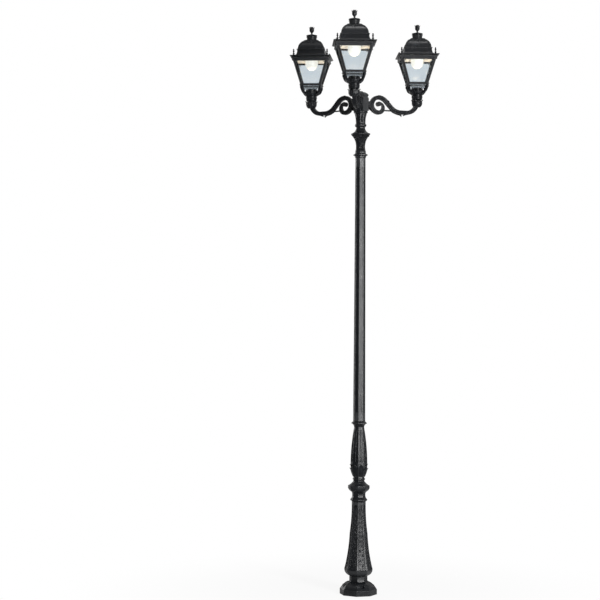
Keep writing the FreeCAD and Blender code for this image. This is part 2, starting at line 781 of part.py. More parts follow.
def arm(angle):
    centreline = SCROLL_R - BAR_T / 2
    bar = slab_of(bar_face((SCROLL_X, centreline), 0, bar_steps(), BAR_T), ARM_W)
    bar = bar.cut(Part.makeCylinder(SPIGOT_BORE_D / 2, 2 * SPIGOT_L, V(ARM_REACH, 0, BAR_T)))
    boss_z = 2 * STRAND_R - SCROLL_R - BOSS_R + 1
    boss = Part.makeCylinder(BOSS_R, ARM_W + 2 * BOSS_PROUD, V(SCROLL_X, -ARM_W / 2 - BOSS_PROUD, boss_z),
                             V(0, 1, 0))
    flange = Part.makeBox(FLANGE_T, FLANGE_W, FLANGE_H, V(HUB_FLAT_R, -FLANGE_W / 2, -FLANGE_H / 2))
    block = Part.makeBox(SCROLL_X - SCROLL_R + BAR_T / 2 - HUB_FLAT_R, ARM_W, BLOCK_H,
                         V(HUB_FLAT_R, -ARM_W / 2, -BLOCK_H / 2))
    link_end = SCROLL_X + BAR_TOP_R + BAR_SLOPE_L
    link = Part.makeBox(link_end - SCROLL_X - STRAND_HOLLOW_R, ARM_W / 2, LINK_T,
                        V(SCROLL_X + STRAND_HOLLOW_R, -ARM_W / 4, -LINK_DROP - LINK_T / 2))
    body = joined([flange, block, bar, boss, link, cup()] + scroll(ARM_W, 0))
    grooves = []
    for side in (-1, 1):
        strips = [slab_of(bar_face((SCROLL_X, centreline), 0, bar_steps()[:4], GROOVE_T), GROOVE_DEPTH)]
        strips += scroll(GROOVE_DEPTH, (BAR_T - GROOVE_T) / 2)[:1]
        for strip in strips:
            strip.translate(V(0, side * (ARM_W - GROOVE_DEPTH) / 2, 0))
        grooves += strips
    holes = []
    for height in bolt_places():
        holes.append(Part.makeCylinder(ARM_BOLT_D / 2 + SLIP_GAP, FLANGE_T,
                                       V(HUB_FLAT_R, 0, height - ARM_CENTRE_Z), V(1, 0, 0)))
    body = body.cut(grooves + holes)
    body.translate(V(0, 0, ARM_Z))
    return turned_by(body, angle)


def arm_bolts():
    bolts = []
    seat = HUB_FLAT_R + FLANGE_T
    corner = ARM_BOLT_HEAD_W / math.sqrt(3)
    for angle in ARM_ANGLES.values():
        for height in bolt_places():
            turns = [i * math.pi / 3 for i in range(7)]
            ring = [V(seat, corner * math.cos(turn), corner * math.sin(turn)) for turn in turns]
            head = Part.Face(Part.makePolygon(ring)).extrude(V(ARM_BOLT_HEAD_T, 0, 0))
            shank = Part.makeCylinder(ARM_BOLT_D / 2, ARM_BOLT_L, V(seat - ARM_BOLT_L, 0, 0), V(1, 0, 0))
            bolt = head.fuse(shank).removeSplitter()
            bolt.translate(V(0, 0, HUB_Z + height))
            bolts.append(turned_by(bolt, angle))
    return Part.makeCompound(bolts)


# ---------------------------------------------------------------- lantern body
def cradle():
    collar = bore(COLLAR_D, 0, COLLAR_H).fuse(bore(COLLAR_TUBE_D, 0, COLLAR_TUBE_H))
    bowl = turned([
        (COLLAR_D / 2, COLLAR_H - 6),
        (BOWL_R, BOWL_Z, 4),
        (BOWL_R - CRADLE_ARM_T / 2, BOWL_Z),
        (COLLAR_D / 2 - 4, COLLAR_H + 1, -4),
    ])
    for angle in (0, 90):
        notch = Part.makeCylinder(SADDLE_R, 4 * BOWL_R, V(-2 * BOWL_R, 0, SADDLE_Z), V(1, 0, 0))
        bowl = bowl.cut(turned_by(notch, angle))
    glass_corner = (FRAME_FOOT_HALF - FRAME_WALL - GLASS_GAP) * math.sqrt(2)
    knuckle_x = glass_corner + GLASS_GAP + KNUCKLE_D / 2
    root_x = COLLAR_TUBE_D / 2 - 1
    low, steep = math.radians(CRADLE_RISE), math.radians(CRADLE_STEEP)
    out = knuckle_x - root_x - CRADLE_BEND_R * (math.sin(steep) - math.sin(low))
    up = FRAME_FOOT_Z - KNUCKLE_H / 2 - CRADLE_START_Z - CRADLE_BEND_R * (math.cos(low) - math.cos(steep))
    first = (out * math.sin(steep) - up * math.cos(steep)) / math.sin(steep - low)
    last = (up * math.cos(low) - out * math.sin(low)) / math.sin(steep - low)
    steps = [("line", first), (CRADLE_BEND_R, CRADLE_STEEP - CRADLE_RISE), ("line", last)]
    limb = slab_of(bar_face((root_x, CRADLE_START_Z), CRADLE_RISE, steps, CRADLE_ARM_T), CRADLE_ARM_W)
    knuckle = Part.makeCylinder(KNUCKLE_D / 2, KNUCKLE_H, V(knuckle_x, 0, FRAME_FOOT_Z - KNUCKLE_H))
    fin = Part.makeBox(FIN_REACH - COLLAR_TUBE_D / 2 + 1, FIN_W, COLLAR_TUBE_H - COLLAR_H,
                       V(COLLAR_TUBE_D / 2 - 1, -FIN_W / 2, COLLAR_H - 1))
    body = joined([collar, bowl] + around(limb.fuse(knuckle), 4, 45) + around(fin, 4))
    hole = Part.makeCylinder((SET_SCREW_D + SLIP_GAP) / 2, COLLAR_D, V(0, 0, SET_SCREW_Z), V(1, 0, 0))
    cuts = [bore(SPIGOT_D + 2 * SLIP_GAP, 0, COLLAR_TUBE_H)] + around(hole, SET_SCREW_COUNT, 90)
    return body.cut(cuts)


def set_screws():
    start = (SPIGOT_D + SLIP_GAP) / 2
    screw = Part.makeCylinder(SET_SCREW_D / 2, SET_SCREW_L, V(start, 0, SET_SCREW_Z), V(1, 0, 0))
    floor = start + SET_SCREW_L - SOCKET_DEPTH
    socket = Part.makeCylinder(SET_SCREW_D / 4, SOCKET_DEPTH, V(floor, 0, SET_SCREW_Z), V(1, 0, 0))
    return Part.makeCompound(around(screw.cut(socket), SET_SCREW_COUNT, 90))


def half_width(height):
    """The glass frame's outer half width at a height; it goes on in line below the frame."""
    lean = (FRAME_HEAD_HALF - FRAME_FOOT_HALF) / (FRAME_HEAD_Z - FRAME_FOOT_Z)
    return FRAME_FOOT_HALF + lean * (height - FRAME_FOOT_Z)


def pyramid(foot_z, head_z, inset):
    """Four-sided solid in line with the frame's outside, drawn in by inset."""
    return faceted([(half_width(foot_z) - inset, foot_z), (half_width(head_z) - inset, head_z)], 4)


def hinge_barrel(length, middle, hole):
    """Knuckle on the hinge's line with its pin hole."""
    place = V(middle - length / 2, HINGE_Y, HINGE_Z)
    outer = Part.makeCylinder(KNUCKLE_R, length, place, V(1, 0, 0))
    inner = Part.makeCylinder(hole / 2, length, place, V(1, 0, 0))
    return outer, inner


def glass_frame():
    shell = pyramid(FRAME_FOOT_Z, FRAME_HEAD_Z, 0).cut(pyramid(FRAME_FOOT_Z, FRAME_HEAD_Z, FRAME_WALL))
    low, high = FRAME_FOOT_Z + LOWER_RAIL_H, FRAME_HEAD_Z - UPPER_RAIL_H
    window = tablet(low, high, 2 * (half_width(low) - FRAME_BAR_W), 2 * (half_width(high) - FRAME_BAR_W),
                    2 * FRAME_HEAD_HALF, 0, 0)
    shell = shell.cut(around(window, 4))
    rails = []
    lower = (FRAME_FOOT_Z, low, LOWER_RAIL_PROUD)
    upper = (high, FRAME_HEAD_Z, UPPER_RAIL_PROUD)
    for foot_z, head_z, proud in (lower, upper):
        middle = (foot_z + head_z) / 2
        side = [
            (half_width(foot_z) + proud - REED_T, foot_z),
            (half_width(foot_z) + proud, foot_z + REED_T),
            (half_width(middle) + proud, middle - REED_T),
            (half_width(middle) + proud - REED_T, middle),
            (half_width(middle) + proud, middle + REED_T),
            (half_width(head_z) + proud, head_z),
        ]
        rails.append(faceted(side, 4).cut(pyramid(foot_z, head_z, FRAME_WALL)))
    lugs = []
    for side in (-1, 1):
        middle = side * (ROOF_KNUCKLE_L / 2 + KNUCKLE_SPACE + FRAME_KNUCKLE_L / 2)
        outer, inner = hinge_barrel(FRAME_KNUCKLE_L, middle, HINGE_PIN_D + 2 * PIN_GAP)
        start = half_width(HINGE_Z) - 1
        web = Part.makeBox(FRAME_KNUCKLE_L, HINGE_Y - start, 2 * KNUCKLE_R,
                           V(middle - FRAME_KNUCKLE_L / 2, start, HINGE_Z - KNUCKLE_R))
        web = web.common(Part.makeBox(FRAME_KNUCKLE_L, HINGE_Y, FRAME_HEAD_Z,
                                      V(middle - FRAME_KNUCKLE_L / 2, start, 0)))
        lugs.append(outer.fuse(web).cut(inner))
    return joined([shell] + rails + lugs)


def glazing():
    inset = FRAME_WALL + GLASS_GAP
    bowl = pyramid(GLASS_FOOT_Z, FRAME_HEAD_Z, inset)
    flange = faceted([(FRAME_HEAD_HALF, FRAME_HEAD_Z), (FRAME_HEAD_HALF, GASKET_Z)], 4)
    hollow = pyramid(GLASS_FOOT_Z + GLASS_T, GASKET_Z, inset + GLASS_T)
    return joined([bowl, flange]).cut(hollow)


def gasket():
    half = FRAME_HEAD_HALF - 1
    ring = faceted([(half, GASKET_Z), (half, EAVE_Z)], 4)
    return ring.cut(faceted([(half - GASKET_W, GASKET_Z), (half - GASKET_W, EAVE_Z)], 4))


def hinge_pin():
    length = ROOF_KNUCKLE_L + 2 * (KNUCKLE_SPACE + FRAME_KNUCKLE_L) + 4
    return Part.makeCylinder(HINGE_PIN_D / 2, length, V(-length / 2, HINGE_Y, HINGE_Z), V(1, 0, 0))


# ---------------------------------------------------------------- lantern roof
def skirt_side():
    return [
        (SKIRT_HALF, SKIRT_Z),
        (SKIRT_HALF, SKIRT_Z + 6, 1.5),
        (SKIRT_TOP_HALF, DOME_Z - 5, -3),
        (SKIRT_TOP_HALF + 2, DOME_Z - 3),
        (SKIRT_TOP_HALF + 2, DOME_Z),
    ]


def dome_side(by):
    return [
        (DOME_HALF + by, DOME_Z),
        (DOME_TOP_HALF + by, PIPE_Z - DOME_CROWN_H, DOME_BULGE),
        (NECK_PIPE_D / 2, PIPE_Z + by, 2),
    ]


def roof():
    eave = faceted([
        (EAVE_HALF - EAVE_BEVEL, EAVE_Z),
        (EAVE_HALF, EAVE_Z + EAVE_T / 2),
        (EAVE_HALF, SKIRT_Z),
    ], 4)
    skirt = faceted(skirt_side(), 4)
    arch = outline([
        (-DOME_HALF + RIB_W, DOME_Z),
        (DOME_HALF - RIB_W, DOME_Z),
        (DOME_HALF - RIB_W - 4, DOME_Z + DOME_H / 3),
        (DOME_TOP_HALF - RIB_W - 8, PIPE_Z - 12, 5),
        (-DOME_TOP_HALF + RIB_W + 8, PIPE_Z - 12),
        (-DOME_HALF + RIB_W + 4, DOME_Z + DOME_H / 3, 5),
    ])
    arch.rotate(ORIGIN, UP, 90)
    arch = arch.extrude(V(EAVE_HALF, 0, 0))
    ribs = faceted(dome_side(RIB_PROUD), 4).cut(around(arch, 4))
    crown = faceted(dome_side(0), 4)
    pipe = bore(NECK_PIPE_D, PIPE_Z - 2, LID_Z)
    outer = joined([eave, skirt, crown, ribs, pipe])
    under_skirt = [(SKIRT_HALF - ROOF_WALL, EAVE_Z), (SKIRT_TOP_HALF - ROOF_WALL, DOME_Z)]
    under_dome = [
        (DOME_HALF - ROOF_WALL, DOME_Z),
        (DOME_TOP_HALF - ROOF_WALL, PIPE_Z - DOME_CROWN_H - ROOF_WALL, DOME_BULGE),
    ]
    hollow = [
        faceted(under_skirt, 4),
        faceted(under_dome, 4),
        bore(NECK_PIPE_D - 2 * ROOF_WALL, DOME_Z, LID_Z),
    ]
    outer = outer.cut(hollow)
    barrel, inner = hinge_barrel(ROOF_KNUCKLE_L, 0, HINGE_PIN_D + 2 * RUN_GAP)
    hanger = Part.makeBox(ROOF_KNUCKLE_L, KNUCKLE_R, HINGE_DROP + EAVE_T / 2,
                          V(-ROOF_KNUCKLE_L / 2, HINGE_Y, HINGE_Z))
    return joined([outer, barrel, hanger]).cut(inner)


def vent_lid():
    return turned([
        (0, LID_Z),
        (LID_D / 2, LID_Z),
        (LID_D / 2, LID_Z + LID_H - 4),
        (LID_D / 2 - 5, LID_Z + LID_H, 1.5),
        (TULIP_STEM_D, TULIP_Z - 1),
        (TULIP_STEM_D / 2, TULIP_Z),
        (0, TULIP_Z),
    ])


def tulip():
    """Bud on a stem with a bead, its petals parted by slits and curled out at the lip."""
    stem, bell = TULIP_STEM_D / 2, TULIP_D / 2
    side = [
        (0, 0),
        (stem, 0),
        (stem - 2, 0.14),
        (stem + 2, 0.2),
        (stem - 1, 0.27),
        (bell - 5, 0.48, 2),
        (bell - 4, 0.74),
        (bell, 0.87),
        (bell - 6, 0.85),
        (bell - 8, 0.94, 1),
        (0, 1),
    ]
    body = turned([(p[0], TULIP_Z + p[1] * TULIP_H) + p[2:] for p in side])
    heart = bore(2 * (bell - PETAL_T), TULIP_Z, TULIP_Z + TULIP_H)
    slit = Part.makeBox(TULIP_D, PETAL_SLIT, TULIP_H / 2, V(-bell, -PETAL_SLIT / 2, TULIP_Z + TULIP_H / 2))
    slits = [turned_by(slit, 360 * i / PETALS) for i in range(PETALS // 2)]
    return body.cut([one.cut(heart) for one in slits])


def corner_finials():
    spire = turned([
        (0, SKIRT_Z),
        (SPIRE_D / 2, SKIRT_Z),
        (SPIRE_D / 2, SKIRT_Z + 14),
        (SPIRE_D / 4, SKIRT_Z + 17),
        (SPIRE_D / 4, SKIRT_Z + 23),
        (SPIRE_D / 2 - 1, SKIRT_Z + 30),
        (SPIRE_D / 2 - 2, SKIRT_Z + 39),
        (0, SKIRT_Z + SPIRE_H),
    ])
    half = SPIRE_SPACING / 2
    spires = []
    for x in (-half, half):
        for y in (-half, half):
            one = spire.copy()
            one.translate(V(x, y, 0))
            spires.append(one)
    return Part.makeCompound(spires)


def reflector():
    """Tray under the roof with a round well for the bulb's neck."""
    foot_half = PAN_HALF - PAN_TAPER
    tray = faceted([(foot_half, PAN_Z), (PAN_HALF, EAVE_Z)], 4)
    tray = tray.cut(faceted([(foot_half - PAN_T, PAN_Z + PAN_T), (PAN_HALF - PAN_T, EAVE_Z)], 4))
    body = joined([tray, bore(PAN_WELL_D + 2 * PAN_T, PAN_Z, WELL_TOP_Z)])
    well = bore(PAN_WELL_D, PAN_Z, WELL_TOP_Z - PAN_T)
    return body.cut([well, bore(BULB_NECK_D + 4, PAN_Z, WELL_TOP_Z)])


def lamp_holder():
    top_z = WELL_TOP_Z + HOLDER_H
    body = bore(HOLDER_D, WELL_TOP_Z, top_z)
    return body.cut(bore(BULB_BASE_D + 2 * SLIP_GAP, WELL_TOP_Z, top_z - HOLDER_FLOOR))


def bulb():
    radius = BULB_D / 2
    neck_z = WELL_TOP_Z - 2
    top_z = WELL_TOP_Z + HOLDER_H - HOLDER_FLOOR - SLIP_GAP
    quarter = radius * (1 - math.sqrt(0.5))
    return turned([
        (0, BULB_BOTTOM_Z),
        (radius, BULB_BOTTOM_Z + radius, quarter),
        (radius, BULB_SHOULDER_Z),
        (BULB_NECK_D / 2, neck_z),
        (BULB_BASE_D / 2, neck_z + 2),
        (BULB_BASE_D / 2, top_z - 4),
        (BULB_BASE_D / 4, top_z),
        (0, top_z),
    ])


LANTERN_PIECES = {
    "cradle": cradle,
    "set_screws": set_screws,
    "glass_frame": glass_frame,
    "glazing": glazing,
    "gasket": gasket,
    "hinge_pin": hinge_pin,
    "roof": roof,
    "vent_lid": vent_lid,
    "tulip_finial": tulip,
    "corner_finials": corner_finials,
    "reflector": reflector,
    "lamp_holder": lamp_holder,
    "bulb": bulb,
}

COLUMN_PIECES = {
    "base_plate": base_plate,
    "core_tube": core_tube,
    "foot": foot,
    "pedestal": pedestal,
    "access_door": access_door,
    "door_screw": door_screw,
    "fuse_box": fuse_box,
    "knob": knob,
    "vase": vase,
    "shaft": shaft,
    "shaft_ring": shaft_ring,
    "capital": capital,
    "neck": neck,
    "hub": hub,
    "hub_cap": hub_cap,
    "arm_bolts": arm_bolts,
}


def placed(shape, name):
    """A lantern piece moved to the end of its arm and turned with its lantern."""
    angle = math.radians(ARM_ANGLES[name])
    piece = turned_by(shape, LANTERN_TURN[name])
    piece.translate(V(ARM_REACH * math.cos(angle), ARM_REACH * math.sin(angle), CUP_TOP_Z))
    return piece


def save(shape, name):
    state = "valid" if shape.isValid() else "NOT VALID"
    print(name, len(shape.Solids), "solid(s)", state, round(shape.Volume))
    shape.exportStep("parts/" + name + ".step")


os.makedirs("parts", exist_ok=True)
for name, make in COLUMN_PIECES.items():
    save(make(), name)
for name, angle in ARM_ANGLES.items():
    save(arm(angle), name + "_arm")
for piece, make in LANTERN_PIECES.items():
    shape = make()
    for name in ARM_ANGLES:
        save(placed(shape, name), name + "_" + piece)
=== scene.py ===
import math
import bmesh
import bpy
from mathutils import Matrix, Vector


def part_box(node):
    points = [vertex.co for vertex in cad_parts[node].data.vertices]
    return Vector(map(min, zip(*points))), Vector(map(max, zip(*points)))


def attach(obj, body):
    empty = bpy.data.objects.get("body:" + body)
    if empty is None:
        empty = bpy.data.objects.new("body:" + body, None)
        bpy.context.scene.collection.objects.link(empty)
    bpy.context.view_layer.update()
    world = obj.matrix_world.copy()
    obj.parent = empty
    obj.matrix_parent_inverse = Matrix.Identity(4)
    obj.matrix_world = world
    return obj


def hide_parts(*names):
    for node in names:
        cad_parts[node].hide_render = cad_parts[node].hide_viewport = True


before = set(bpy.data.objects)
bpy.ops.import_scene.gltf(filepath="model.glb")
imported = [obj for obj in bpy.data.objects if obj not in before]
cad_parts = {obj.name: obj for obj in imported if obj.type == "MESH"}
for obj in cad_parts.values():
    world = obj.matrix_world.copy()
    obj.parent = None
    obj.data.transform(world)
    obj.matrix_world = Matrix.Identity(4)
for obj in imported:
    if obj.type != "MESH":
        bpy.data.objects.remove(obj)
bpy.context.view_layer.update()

# ---------------------------------------------------------------- base plate and core tube
# The buried steelwork: a round flange plate that the anchors hold, and welded to it the tube that
# carries every casting up to the hub. Both are hot-dip galvanised, with the large grey spangles
# that zinc leaves, and neither shows once the castings are on.


def joined(tree, node, **inputs):
    """Sets or links a node's inputs. The key i6 is the input with that number."""
    for key, value in inputs.items():
        socket = node.inputs[int(key[1:]) if key[0] == "i" and key[1:].isdigit() else key.replace("_", " ")]
        if isinstance(value, bpy.types.NodeSocket):
            tree.links.new(value, socket)
        else:
            socket.default_value = (*value, 1) if socket.type == "RGBA" else value
    return node


def wired(tree, kind, settings=None, **inputs):
    """A new shader node with its settings and its inputs."""
    made = tree.nodes.new("ShaderNode" + kind)
    for key, value in (settings or {}).items():
        setattr(made, key, value)
    return joined(tree, made, **inputs)


def new_group(name, takes, gives):
    """An empty node group. takes has each input's name, kind and value, and gives the outputs."""
    group = bpy.data.node_groups.new(name, "ShaderNodeTree")
    for label, kind, value in takes:
        socket = group.interface.new_socket(label, in_out="INPUT", socket_type="NodeSocket" + kind)
        if value is not None:
            socket.default_value = value
    for label, kind in gives:
        group.interface.new_socket(label, in_out="OUTPUT", socket_type="NodeSocket" + kind)
    return group, group.nodes.new("NodeGroupInput").outputs, group.nodes.new("NodeGroupOutput").inputs


def grain_group():
    """Grain in a surface: its height, and a colour and a roughness that follow it from Low to High."""
    group, given, made = new_group(
        "surface_grain",
        [("Place", "Vector", None), ("Scale", "Float", 100.0), ("Detail", "Float", 2.0),
         ("Sharpness", "Float", 0.5), ("Low", "Float", 0.3), ("High", "Float", 0.7),
         ("Low Colour", "Color", (0, 0, 0, 1)), ("High Colour", "Color", (1, 1, 1, 1)),
         ("Low Roughness", "Float", 0.0), ("High Roughness", "Float", 1.0)],
        [("Height", "Float"), ("Colour", "Color"), ("Roughness", "Float")])
    height = wired(group, "TexNoise", Vector=given["Place"], Scale=given["Scale"], Detail=given["Detail"],
                   Roughness=given["Sharpness"]).outputs[0]
    share = wired(group, "MapRange", Value=height, From_Min=given["Low"], From_Max=given["High"]).outputs[0]
    colour = wired(group, "Mix", {"data_type": "RGBA"}, i0=share, i6=given["Low Colour"],
                   i7=given["High Colour"]).outputs[2]
    rough = wired(group, "MapRange", Value=share, To_Min=given["Low Roughness"],
                  To_Max=given["High Roughness"]).outputs[0]
    for source, label in ((height, "Height"), (colour, "Colour"), (rough, "Roughness")):
        group.links.new(source, made[label])
    return group


def relief_group():
    """Bump from a height, over edges that are rounded by a radius in metres."""
    group, given, made = new_group(
        "surface_relief",
        [("Height", "Float", 0.0), ("Strength", "Float", 0.2), ("Distance", "Float", 0.0003),
         ("Edge Radius", "Float", 0.0)],
        [("Normal", "Vector")])
    edge = wired(group, "Bevel", {"samples": 4}, Radius=given["Edge Radius"]).outputs[0]
    bump = wired(group, "Bump", Height=given["Height"], Strength=given["Strength"],
                 Distance=given["Distance"], Normal=edge).outputs[0]
    group.links.new(bump, made["Normal"])
    return group


surface_grain, surface_relief = grain_group(), relief_group()


def new_finish(name):
    """A new material with its tree, its Principled shader and its Object coordinates."""
    finish = bpy.data.materials.new(name)
    finish.use_nodes = True
    tree = finish.node_tree
    return finish, tree, tree.nodes["Principled BSDF"], wired(tree, "TexCoord").outputs["Object"]


def grained(tree, place, scale, detail=2.0, **values):
    """The outputs of the grain group at a place in a material."""
    return wired(tree, "Group", {"node_tree": surface_grain}, Place=place, Scale=scale, Detail=detail,
                 **values).outputs


def rough_surface(tree, shader, height, strength, distance, edge=0.0):
    """Gives a shader the relief group's normal."""
    relief = wired(tree, "Group", {"node_tree": surface_relief}, Height=height, Strength=strength,
                   Distance=distance, Edge_Radius=edge)
    tree.links.new(relief.outputs["Normal"], shader.inputs["Normal"])


def galvanised_finish():
    finish, tree, shader, place = new_finish("hot_dip_zinc")
    spangle = wired(tree, "TexVoronoi", Vector=place, Scale=70.0).outputs["Color"]
    grey = wired(tree, "RGBToBW", Color=spangle).outputs[0]
    colour = wired(tree, "Mix", {"data_type": "RGBA"}, i0=grey, i6=(0.33, 0.35, 0.36),
                   i7=(0.55, 0.57, 0.58)).outputs[2]
    cloud = grained(tree, place, 18.0, 3.0, Low_Roughness=0.34, High_Roughness=0.56)
    joined(tree, shader, Base_Color=colour, Roughness=cloud["Roughness"], Metallic=0.9)
    rough_surface(tree, shader, cloud["Height"], 0.2, 0.0004)
    return finish


def dress(finish, *nodes):
    """Gives CAD nodes a finish."""
    for name in nodes:
        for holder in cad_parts[name].material_slots:
            holder.material = finish


zinc = galvanised_finish()
dress(zinc, "base_plate", "core_tube")

# ---------------------------------------------------------------- foot
# The broad eight-sided foot, sand cast in one piece with the fixing ears inside it, and with
# eight leaves that fall from its neck over the dome between the seats of the anchor nuts. All
# the castings are powder coated in fine-textured black, and high edges look a little greyer.


def coated_finish():
    finish, tree, shader, place = new_finish("black_textured_coating")
    grain = grained(tree, place, 650.0, Sharpness=0.6)["Height"]
    sand = grained(tree, place, 120.0, 3.0)["Height"]
    bloom = grained(tree, place, 14.0, 4.0, Sharpness=0.65, Low_Colour=(0.0025, 0.003, 0.004),
                    High_Colour=(0.007, 0.008, 0.010), Low_Roughness=0.193, High_Roughness=0.297)
    relief = wired(tree, "Math", {"operation": "MULTIPLY_ADD"}, i0=sand, i1=0.6, i2=grain).outputs[0]
    rough_surface(tree, shader, relief, 0.45, 0.0007, edge=0.0016)
    worn = wired(tree, "NewGeometry").outputs["Pointiness"]
    rubbed = wired(tree, "MapRange", Value=worn, From_Min=0.51, From_Max=0.6).outputs[0]
    speckle = wired(tree, "Math", {"operation": "MULTIPLY"}, i0=rubbed, i1=grain).outputs[0]
    paint = wired(tree, "Mix", {"data_type": "RGBA"}, i0=speckle, i6=bloom["Colour"],
                  i7=(0.06, 0.062, 0.065)).outputs[2]
    joined(tree, shader, Base_Color=paint, Roughness=bloom["Roughness"], Specular_IOR_Level=0.15)
    return finish


coating = coated_finish()
MM = 0.001                  # pieces are drawn in millimetres and placed in metres
SHARP = 0.6                 # radians between two faces, from which their edge stays crisp
FLAT_SHARE = math.cos(math.pi / 8)      # distance of an eight-sided casting's flats to its arrises'


def side_of(*rows):
    """A casting's side from (distance of its flats, height) rows in millimetres.
    A third number bows the stretch that leads to its row."""
    side = [Vector(rows[0][:2])]
    for row in rows[1:]:
        start, way = side[-1].copy(), Vector(row[:2]) - side[-1]
        bow = row[2] if len(row) > 2 else 0
        right = Vector((way.y, -way.x)).normalized()
        parts = 10 if bow else 1
        for i in range(1, parts + 1):
            share = i / parts
            side.append(start + way * share + right * (4 * share * (1 - share) * bow))
    return side


def over_arrises(*rows):
    """The same, from widths over the arrises of an eight-sided casting."""
    return side_of(*[(row[0] / 2 * FLAT_SHARE,) + tuple(row[1:]) for row in rows])


def spun(side, sides=8, corner=-90.0):
    """A side line spun into a casting with so many flats, one corner at a given angle.
    Sixteen sides and more are a round casting, which keeps its radius."""
    work = bmesh.new()
    grow = 1 / math.cos(math.pi / sides) if sides < 16 else 1
    facing = Matrix.Rotation(math.radians(corner), 3, "Z")
    dots = [work.verts.new(facing @ Vector((p.x * grow, 0, p.y))) for p in side]
    first = 1 if side[0].x == 0 else 0
    lines = [work.edges.new((dots[i - 1], dots[i])) for i in range(first, len(dots))]
    bmesh.ops.spin(work, geom=dots + lines, cent=(0, 0, 0), axis=(0, 0, 1), angle=math.tau, steps=sides,
                   use_merge=True)
    bmesh.ops.remove_doubles(work, verts=work.verts, dist=0.01)
    bmesh.ops.recalc_face_normals(work, faces=work.faces)
    return work


def as_data(work, name):
    """A mesh turned into mesh data, which frees it."""
    data = bpy.data.meshes.new(name)
    work.to_mesh(data)
    work.free()
    return data


def shown(name, data):
    """A new object in the scene, of mesh, curve, light or camera data."""
    made = bpy.data.objects.new(name, data)
    bpy.context.scene.collection.objects.link(made)
    return made


def worked_out(thing):
    """The mesh of an object with its modifiers or its bevel."""
    ready = thing.evaluated_get(bpy.context.evaluated_depsgraph_get())
    work = bmesh.new()
    work.from_mesh(ready.to_mesh())
    ready.to_mesh_clear()
    return work


def gathered(*works):
    """Several meshes made one."""
    whole = works[0]
    for work in works[1:]:
        carrier = as_data(work, "carrier")
        whole.from_mesh(carrier)
        bpy.data.meshes.remove(carrier)
    return whole


def ringed(work, count, start=0.0, turn=None):
    """A mesh on the +X side repeated about the axis from an angle, evenly or at a turn in degrees."""
    facing = Matrix.Rotation(math.radians(start), 3, "Z")
    bmesh.ops.rotate(work, verts=work.verts, cent=(0, 0, 0), matrix=facing)
    if count > 1:
        everything = work.verts[:] + work.edges[:] + work.faces[:]
        bmesh.ops.spin(work, geom=everything, cent=(0, 0, 0), axis=(0, 0, 1), steps=count - 1,
                       angle=math.radians(turn or 360 / count) * (count - 1), use_duplicate=True)
    return work


def drilled(work, cutter):
    """A mesh less the space of a cutter."""
    stock, drill = shown("stock", as_data(work, "stock")), shown("cutter", as_data(cutter, "cutter"))
    cut = stock.modifiers.new("cut", "BOOLEAN")
    cut.object, cut.operation, cut.solver = drill, "DIFFERENCE", "EXACT"
    result = worked_out(stock)
    for thing in (stock, drill):
        bpy.data.meshes.remove(thing.data)
    return result


def point_along(side, share):
    """(place, direction) at a share of a line's length."""
    lengths = [(side[i + 1] - side[i]).length for i in range(len(side) - 1)]
    left = share * sum(lengths)
    for i, length in enumerate(lengths):
        if left <= length or i == len(lengths) - 1:
            way = (side[i + 1] - side[i]) / max(length, 1e-6)
            return side[i] + way * left, way
        left -= length


def leaf(side, width, lobes=3, proud=4.0, curl=6.0, hand=1, fold=0.0, across_parts=8, along_parts=20):
    """An acanthus leaf laid along a line on the +X side, with a midrib, lobes and a curled tip.
    hand is -1 where the line runs downwards, and fold lays the leaf over an arris."""
    thickness, curl_start = 2.2, 0.72
    work = bmesh.new()
    bmesh.ops.create_grid(work, x_segments=across_parts, y_segments=along_parts, size=1)
    for dot in work.verts:
        across, along = dot.co.x, (dot.co.y + 1) / 2
        place, way = point_along(side, along)
        out = Vector((way.y, -way.x)) * hand
        outline = math.sin(math.pi * (0.1 + 0.9 * along) ** 0.8) ** 0.7 if along < 1 else 0
        notches = 1 + 0.2 * math.cos(math.tau * (lobes * along + 0.15)) * min(1, 3 * (1 - along))
        half = width / 2 * max(outline, 0.02) * notches
        crown = proud * (0.85 - 1.1 * abs(across) ** 2.4)
        midrib = 0.35 * proud * math.exp(-(across / 0.14) ** 2)
        ripple = 0.28 * proud * abs(across) * math.cos(math.tau * lobes * along - 2.4 * abs(across))
        roll = max(0.0, (along - curl_start) / (1 - curl_start))
        lift = crown + midrib + ripple + curl * roll ** 1.6
        at = place - way * curl * 0.7 * max(0.0, roll - 0.5) + out * lift
        dot.co = (at.x - fold * abs(across) * half, across * half, at.y)
    bmesh.ops.recalc_face_normals(work, faces=work.faces)
    if sum(face.normal.x + 0.2 * face.normal.z for face in work.faces) < 0:
        bmesh.ops.reverse_faces(work, faces=work.faces)
    bmesh.ops.solidify(work, geom=work.faces[:], thickness=thickness)
    return work


def coated(work, name):
    """A mesh made an object in the castings' coating."""
    data = as_data(work, name)
    data.materials.append(coating)
    return shown(name, data)


def settled(work, name, body, place=None, nodes=(), edge=0.0, fine=0):
    """A mesh in millimetres made a coated piece at its place, with its edges rounded by a width
    in millimetres or its leaves smoothed so many times."""
    if place:
        work.transform(place)
    work.transform(Matrix.Scale(MM, 4))
    for face in work.faces:
        face.smooth = True
    for line in work.edges:
        line.smooth = not line.is_manifold or line.calc_face_angle(0) < SHARP
    piece = coated(work, name)
    if edge:
        rounded = piece.modifiers.new("rounded_edges", "BEVEL")
        rounded.width, rounded.segments = edge * MM, 2
        rounded.limit_method, rounded.angle_limit = "ANGLE", SHARP
        rounded.harden_normals = True
    if fine:
        smooth = piece.modifiers.new("smooth_leaf", "SUBSURF")
        smooth.levels = smooth.render_levels = fine
    if nodes:
        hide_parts(*nodes)
    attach(piece, body)
    return piece


def raised(height):
    return Matrix.Translation((0, 0, height))


